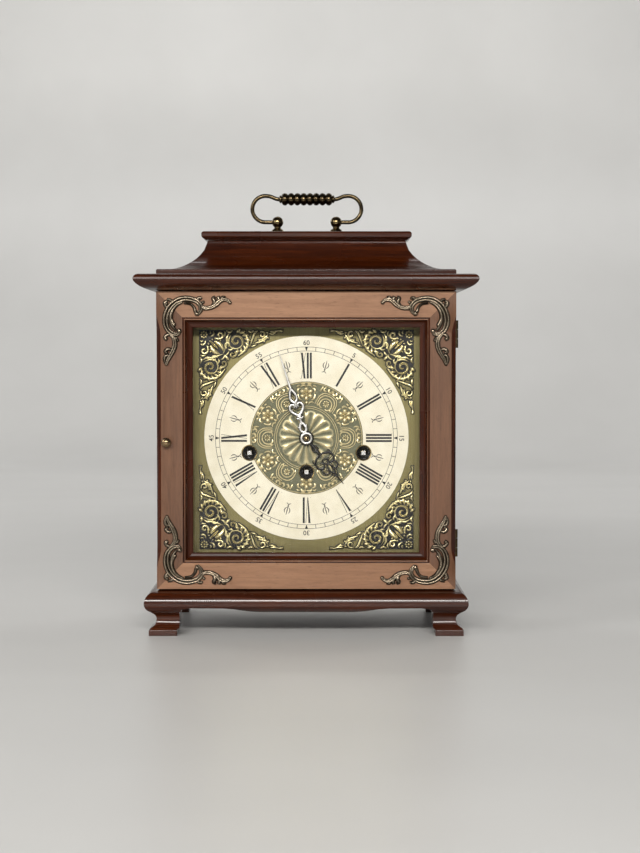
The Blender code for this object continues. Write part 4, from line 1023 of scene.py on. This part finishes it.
# (points, height factor, gap between two ridges if it has them); u is in from the side, v from the end.
CASTING_STROKES = [
    ([(32.6, 18.6, 0.9), (35.2, 15.4, 1.3), (35.4, 11.6, 1.7), (32.6, 8.2, 1.8), (28.0, 6.4, 1.9),
      (22.5, 5.9, 2.0), (17.0, 7.4, 2.1), (12.4, 10.9, 2.2), (9.2, 15.6, 2.3), (7.6, 21.2, 2.3),
      (7.9, 26.8, 2.1), (10.0, 31.2, 1.8), (13.6, 33.8, 1.5), (17.2, 34.0, 1.2), (18.6, 31.6, 0.9)],
     1.0, 2.5),
    ([(20.4, 8.6, 0.8), (16.0, 11.4, 1.0), (12.6, 16.2, 1.2), (11.6, 22.0, 1.2), (13.0, 27.4, 1.0),
      (15.6, 31.0, 0.7)], 1.2),
    ([(12.6, 17.6, 0.7), (12.2, 22.0, 0.9), (13.9, 26.0, 1.1)], 1.3),
    ([(33.6, 17.4, 0.8), (31.2, 16.0, 1.0), (30.2, 13.0, 0.8), (27.4, 10.2, 0.7), (22.6, 9.4, 0.6)],
     1.1),
    ([(36.0, 12.2, 1.0), (39.6, 13.4, 1.3), (43.6, 12.8, 1.4), (47.6, 10.6, 1.6), (50.6, 7.8, 1.6),
      (53.8, 6.6, 1.3), (57.0, 7.4, 1.0), (58.6, 9.4, 0.9)], 1.0, 1.5),
    ([(44.4, 11.8, 0.7), (46.4, 8.4, 1.3), (45.2, 5.8, 1.1), (46.8, 4.6, 0.7)], 1.1),
    ([(47.8, 9.6, 0.7), (49.8, 6.6, 1.2), (49.2, 4.4, 1.0)], 1.2),
    ([(51.0, 7.4, 0.7), (52.8, 5.0, 1.0), (54.8, 4.8, 0.6)], 1.2),
    ([(11.6, 34.0, 1.1), (14.0, 37.4, 1.4), (14.9, 41.8, 1.7), (13.8, 46.4, 1.7), (11.4, 50.8, 1.5),
      (9.4, 54.4, 1.2), (8.2, 57.6, 0.9)], 1.0, 1.6),
    ([(11.0, 34.2, 0.9), (8.4, 34.8, 1.1), (7.0, 37.0, 1.1), (8.6, 38.4, 0.9)], 1.2),
    ([(12.6, 46.6, 0.7), (9.4, 45.8, 1.1), (7.3, 47.8, 1.1), (8.6, 49.4, 0.7)], 1.2),
    ([(11.2, 51.4, 0.7), (8.2, 50.8, 1.0), (6.7, 53.4, 1.0), (7.2, 56.6, 0.8)], 1.2),
    ([(10.8, 12.2, 0.8), (8.0, 12.0, 1.0), (6.9, 9.4, 1.1), (8.8, 7.9, 0.9)], 1.2),
    ([(13.0, 9.4, 0.7), (11.6, 7.2, 0.9), (9.0, 6.5, 0.7)], 1.2),
    ([(32.2, 7.6, 0.8), (33.4, 5.6, 1.0), (35.4, 5.2, 0.8)], 1.2),
    ([(13.2, 36.0, 0.7), (16.2, 37.4, 0.9), (17.4, 39.4, 0.5)], 1.1),
]
CASTING_BEADS = [               # (u, v, radius)
    (32.2, 17.6, 2.0), (18.4, 31.4, 2.0), (20.2, 8.8, 1.4), (14.3, 26.6, 1.6), (38.4, 13.6, 1.7),
    (58.6, 9.0, 1.5), (37.4, 8.6, 1.3), (35.6, 5.6, 1.2), (7.7, 37.6, 1.5), (8.1, 57.8, 1.4),
    (8.2, 10.2, 1.3), (12.4, 7.4, 1.1), (17.0, 38.8, 1.1), (8.6, 48.8, 1.1),
]


def make_castings():
    """Cast scrolls with double ridges, on a dark backing that outlines them."""
    for node in named("corner_mount_"):
        side = 1 if node.endswith("right") else -1
        upper = "upper" in node

        def to_world(u, v, height, side=side, upper=upper):
            level = DOOR_HIGH.z - v * MM if upper else DOOR_LOW.z + v * MM
            return side * (DOOR_HALF - u * MM), DOOR_FACE - (height + CASTING_LIFT) * MM, level

        relief = Relief(to_world)
        backing = Relief(to_world)
        level = 0.55
        for points, tall, *gap in CASTING_STROKES:
            backing.ribbon(points, 0.45, 0.0, level, 5)
            level += 0.004
            if gap:
                for ridge in ridged(points, gap[0], 0.95):
                    relief.stroke(ridge, 0.5, 1.35 * tall, 10)
            else:
                relief.stroke(points, 0.2, tall, 10)
        for u, v, radius in CASTING_BEADS:
            relief.bead(u, v, radius, 0.3, 1.35)
        stand_in(node, "cast", relief.mesh(), CASTING)
        add_piece(node + "_backing", backing.mesh(False), CASTING_DARK, BODY_OF[node])


# ---- Handle ----

def bail_route(half_length, height, bead):
    """(across, up, radius) points in mm, from the left pin to the right one; up is from the pins."""
    wire, loop = 1.7, 10.9
    pitch, count = 5.2, 8
    loop_x = half_length - wire - loop
    grip_up = height - wire - bead
    grip_half = pitch * count / 2
    half = [(21.4, 0.0, wire), (29.0, 0.0, wire)]
    for step in range(25):
        angle = math.radians(-90 + 190 * step / 24)
        half.append((loop_x + loop * math.cos(angle), loop + loop * math.sin(angle), wire))
    exit_x, exit_up, _ = half[-1]
    for step in range(1, 9):
        part = step / 8
        ease = (1 - math.cos(HALF_TURN * part)) / 2
        across = exit_x + (grip_half + 2.4 - exit_x) * part
        half.append((across, exit_up + (grip_up - exit_up) * ease, wire))
    collar = ((1.9, 2.6), (1.5, 3.2), (0.7, 3.2), (0.3, 2.8))
    half += [(grip_half + past, grip_up, radius) for past, radius in collar]
    grip = []
    for step in range(count * 8 + 1):
        part = step % 8 / 8
        radius = bead * (0.70 + 0.30 * math.sin(HALF_TURN * part) ** 0.7)
        grip.append((step / 8 * pitch - grip_half, grip_up, radius))
    return [(-across, up, radius) for across, up, radius in half] + grip + half[::-1]


def make_bail():
    """Bent wire with S-shaped ends and a grip of turned beads."""
    low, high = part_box("handle_bail")
    bead = (high.y - low.y) / 2
    route = bail_route(high.x / MM, (high.z - low.z) / MM, bead / MM)
    pins = Vector((0.0, (low.y + high.y) / 2, low.z + 1.7 * MM))
    bm = bmesh.new()
    rings = []
    for index, (across, up, radius) in enumerate(route):
        run = direction(route, index)
        centre = pins + Vector((across, 0.0, up)) * MM
        rings.append([bm.verts.new(centre + Vector((-run.y * b, a, run.x * b)) * MM)
                      for a, b in circle((0.0, 0.0), radius, 20)])
    close_rings(bm, rings)
    stand_in("handle_bail", "turned", finished_mesh(bm, 60), HANDLE_BRASS)


def make_posts():
    """A ball on a short turned neck and foot."""
    ball = 4.8
    foot = [(2.7, 4.6), (3.2, 4.0), (4.3, 3.4), (5.0, 2.5), (5.2, 1.4), (5.2, 0.5), (4.9, 0.0), (0.0, 0.0)]
    for node in named("handle_post_"):
        low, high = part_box(node)
        middle = (high.z - low.z) / MM - ball
        profile = [(0.0, middle + ball)]
        for step in range(1, 15):
            angle = math.radians(90 - 10.4 * step)
            profile.append((ball * math.cos(angle), middle + ball * math.sin(angle)))
        profile = [(radius * MM, low.z + up * MM) for radius, up in profile + foot]
        centre = ((low.x + high.x) / 2, (low.y + high.y) / 2)
        stand_in(node, "turned", turned_mesh(profile, centre), POST_BRASS)


# ---- Stage ----

def make_stage():
    """A pale floor that curves up into a backdrop, under a studio that is darker overhead."""
    route = [(-4.5, 0.0), (2.2, 0.0)]
    for step in range(1, 17):
        angle = math.radians(90 * step / 16)
        route.append((2.2 + 0.9 * math.sin(angle), 0.9 - 0.9 * math.cos(angle)))
    route.append((3.1, 4.0))
    bm = bmesh.new()
    rows = [[bm.verts.new((x, y, CAD_BOX[0].z + z)) for x in (-5.0, 5.0)] for y, z in route]
    for first, second in zip(rows, rows[1:]):
        bm.faces.new((first[0], first[1], second[1], second[0]))
    mesh = bpy.data.meshes.new("floor")
    bm.to_mesh(mesh)
    bm.free()
    mesh.shade_smooth()
    floor = bpy.data.objects.new("floor", mesh)
    bpy.context.scene.collection.objects.link(floor)
    shader = Shader("floor_pale")
    mottle = shader.noise(shader.place, 3.0, 3.0)
    shader.set(Base_Color=shader.ramp(mottle, (0.3, (0.56, 0.555, 0.54)), (0.7, (0.60, 0.595, 0.58))),
               Roughness=0.38)
    mesh.materials.append(shader.material)

    world = bpy.data.worlds.new("studio")
    bpy.context.scene.world = world
    world.use_nodes = True
    tree = world.node_tree
    outward = tree.nodes.new("ShaderNodeTexCoord")
    parts = tree.nodes.new("ShaderNodeSeparateXYZ")
    ramp = tree.nodes.new("ShaderNodeValToRGB")
    tree.links.new(outward.outputs["Generated"], parts.inputs["Vector"])
    tree.links.new(parts.outputs["Z"], ramp.inputs["Fac"])
    tree.links.new(ramp.outputs["Color"], tree.nodes["Background"].inputs["Color"])
    horizon, overhead = ramp.color_ramp.elements
    horizon.position, horizon.color = 0.04, (0.17, 0.173, 0.17, 1.0)
    overhead.position, overhead.color = 0.40, (0.06, 0.06, 0.06, 1.0)


def add_light(name, place, target, size, power, colour=(1.0, 1.0, 1.0)):
    data = bpy.data.lights.new(name, "AREA")
    data.shape = "RECTANGLE"
    data.size, data.size_y = size
    data.energy = power
    data.color = colour
    light = bpy.data.objects.new(name, data)
    bpy.context.scene.collection.objects.link(light)
    light.location = place
    light.rotation_euler = (Vector(target) - Vector(place)).to_track_quat("-Z", "Y").to_euler()


def make_lights():
    middle = (0.0, 0.0, 0.18)
    add_light("window", (-0.25, -3.1, 1.40), middle, (2.8, 0.34), 138.0, (1.0, 0.98, 0.945))
    add_light("left_fill", (-2.2, -1.4, 1.1), middle, (0.8, 1.2), 18.0)
    add_light("rear_left", (-2.0, 2.0, 1.1), middle, (0.9, 0.9), 12.0)
    add_light("rear_right", (2.0, 2.0, 1.1), middle, (0.9, 0.9), 12.0)
    add_light("backdrop", (0.0, 1.3, 2.6), (0.0, 3.1, 0.7), (3.6, 0.6), 36.0)


def make_camera():
    data = bpy.data.cameras.new("camera")
    data.sensor_width = 36.0
    data.lens = 80.188
    camera = bpy.data.objects.new("camera", data)
    bpy.context.scene.collection.objects.link(camera)
    camera.location = (0.012, -1.575, 0.2255)
    camera.rotation_euler = (math.radians(90 - 2.24), 0.0, math.radians(0.04))
    bpy.context.scene.camera = camera
    bpy.context.scene.view_settings.view_transform = "Standard"


def build():
    finish_case()
    finish_metal()
    make_ring_print()
    make_minute_figures()
    make_disc()
    make_grommets()
    make_hand_nut()
    make_spandrels()
    make_minute_hand()
    make_hour_hand()
    make_castings()
    make_bail()
    make_posts()
    make_stage()
    make_lights()
    make_camera()


build()
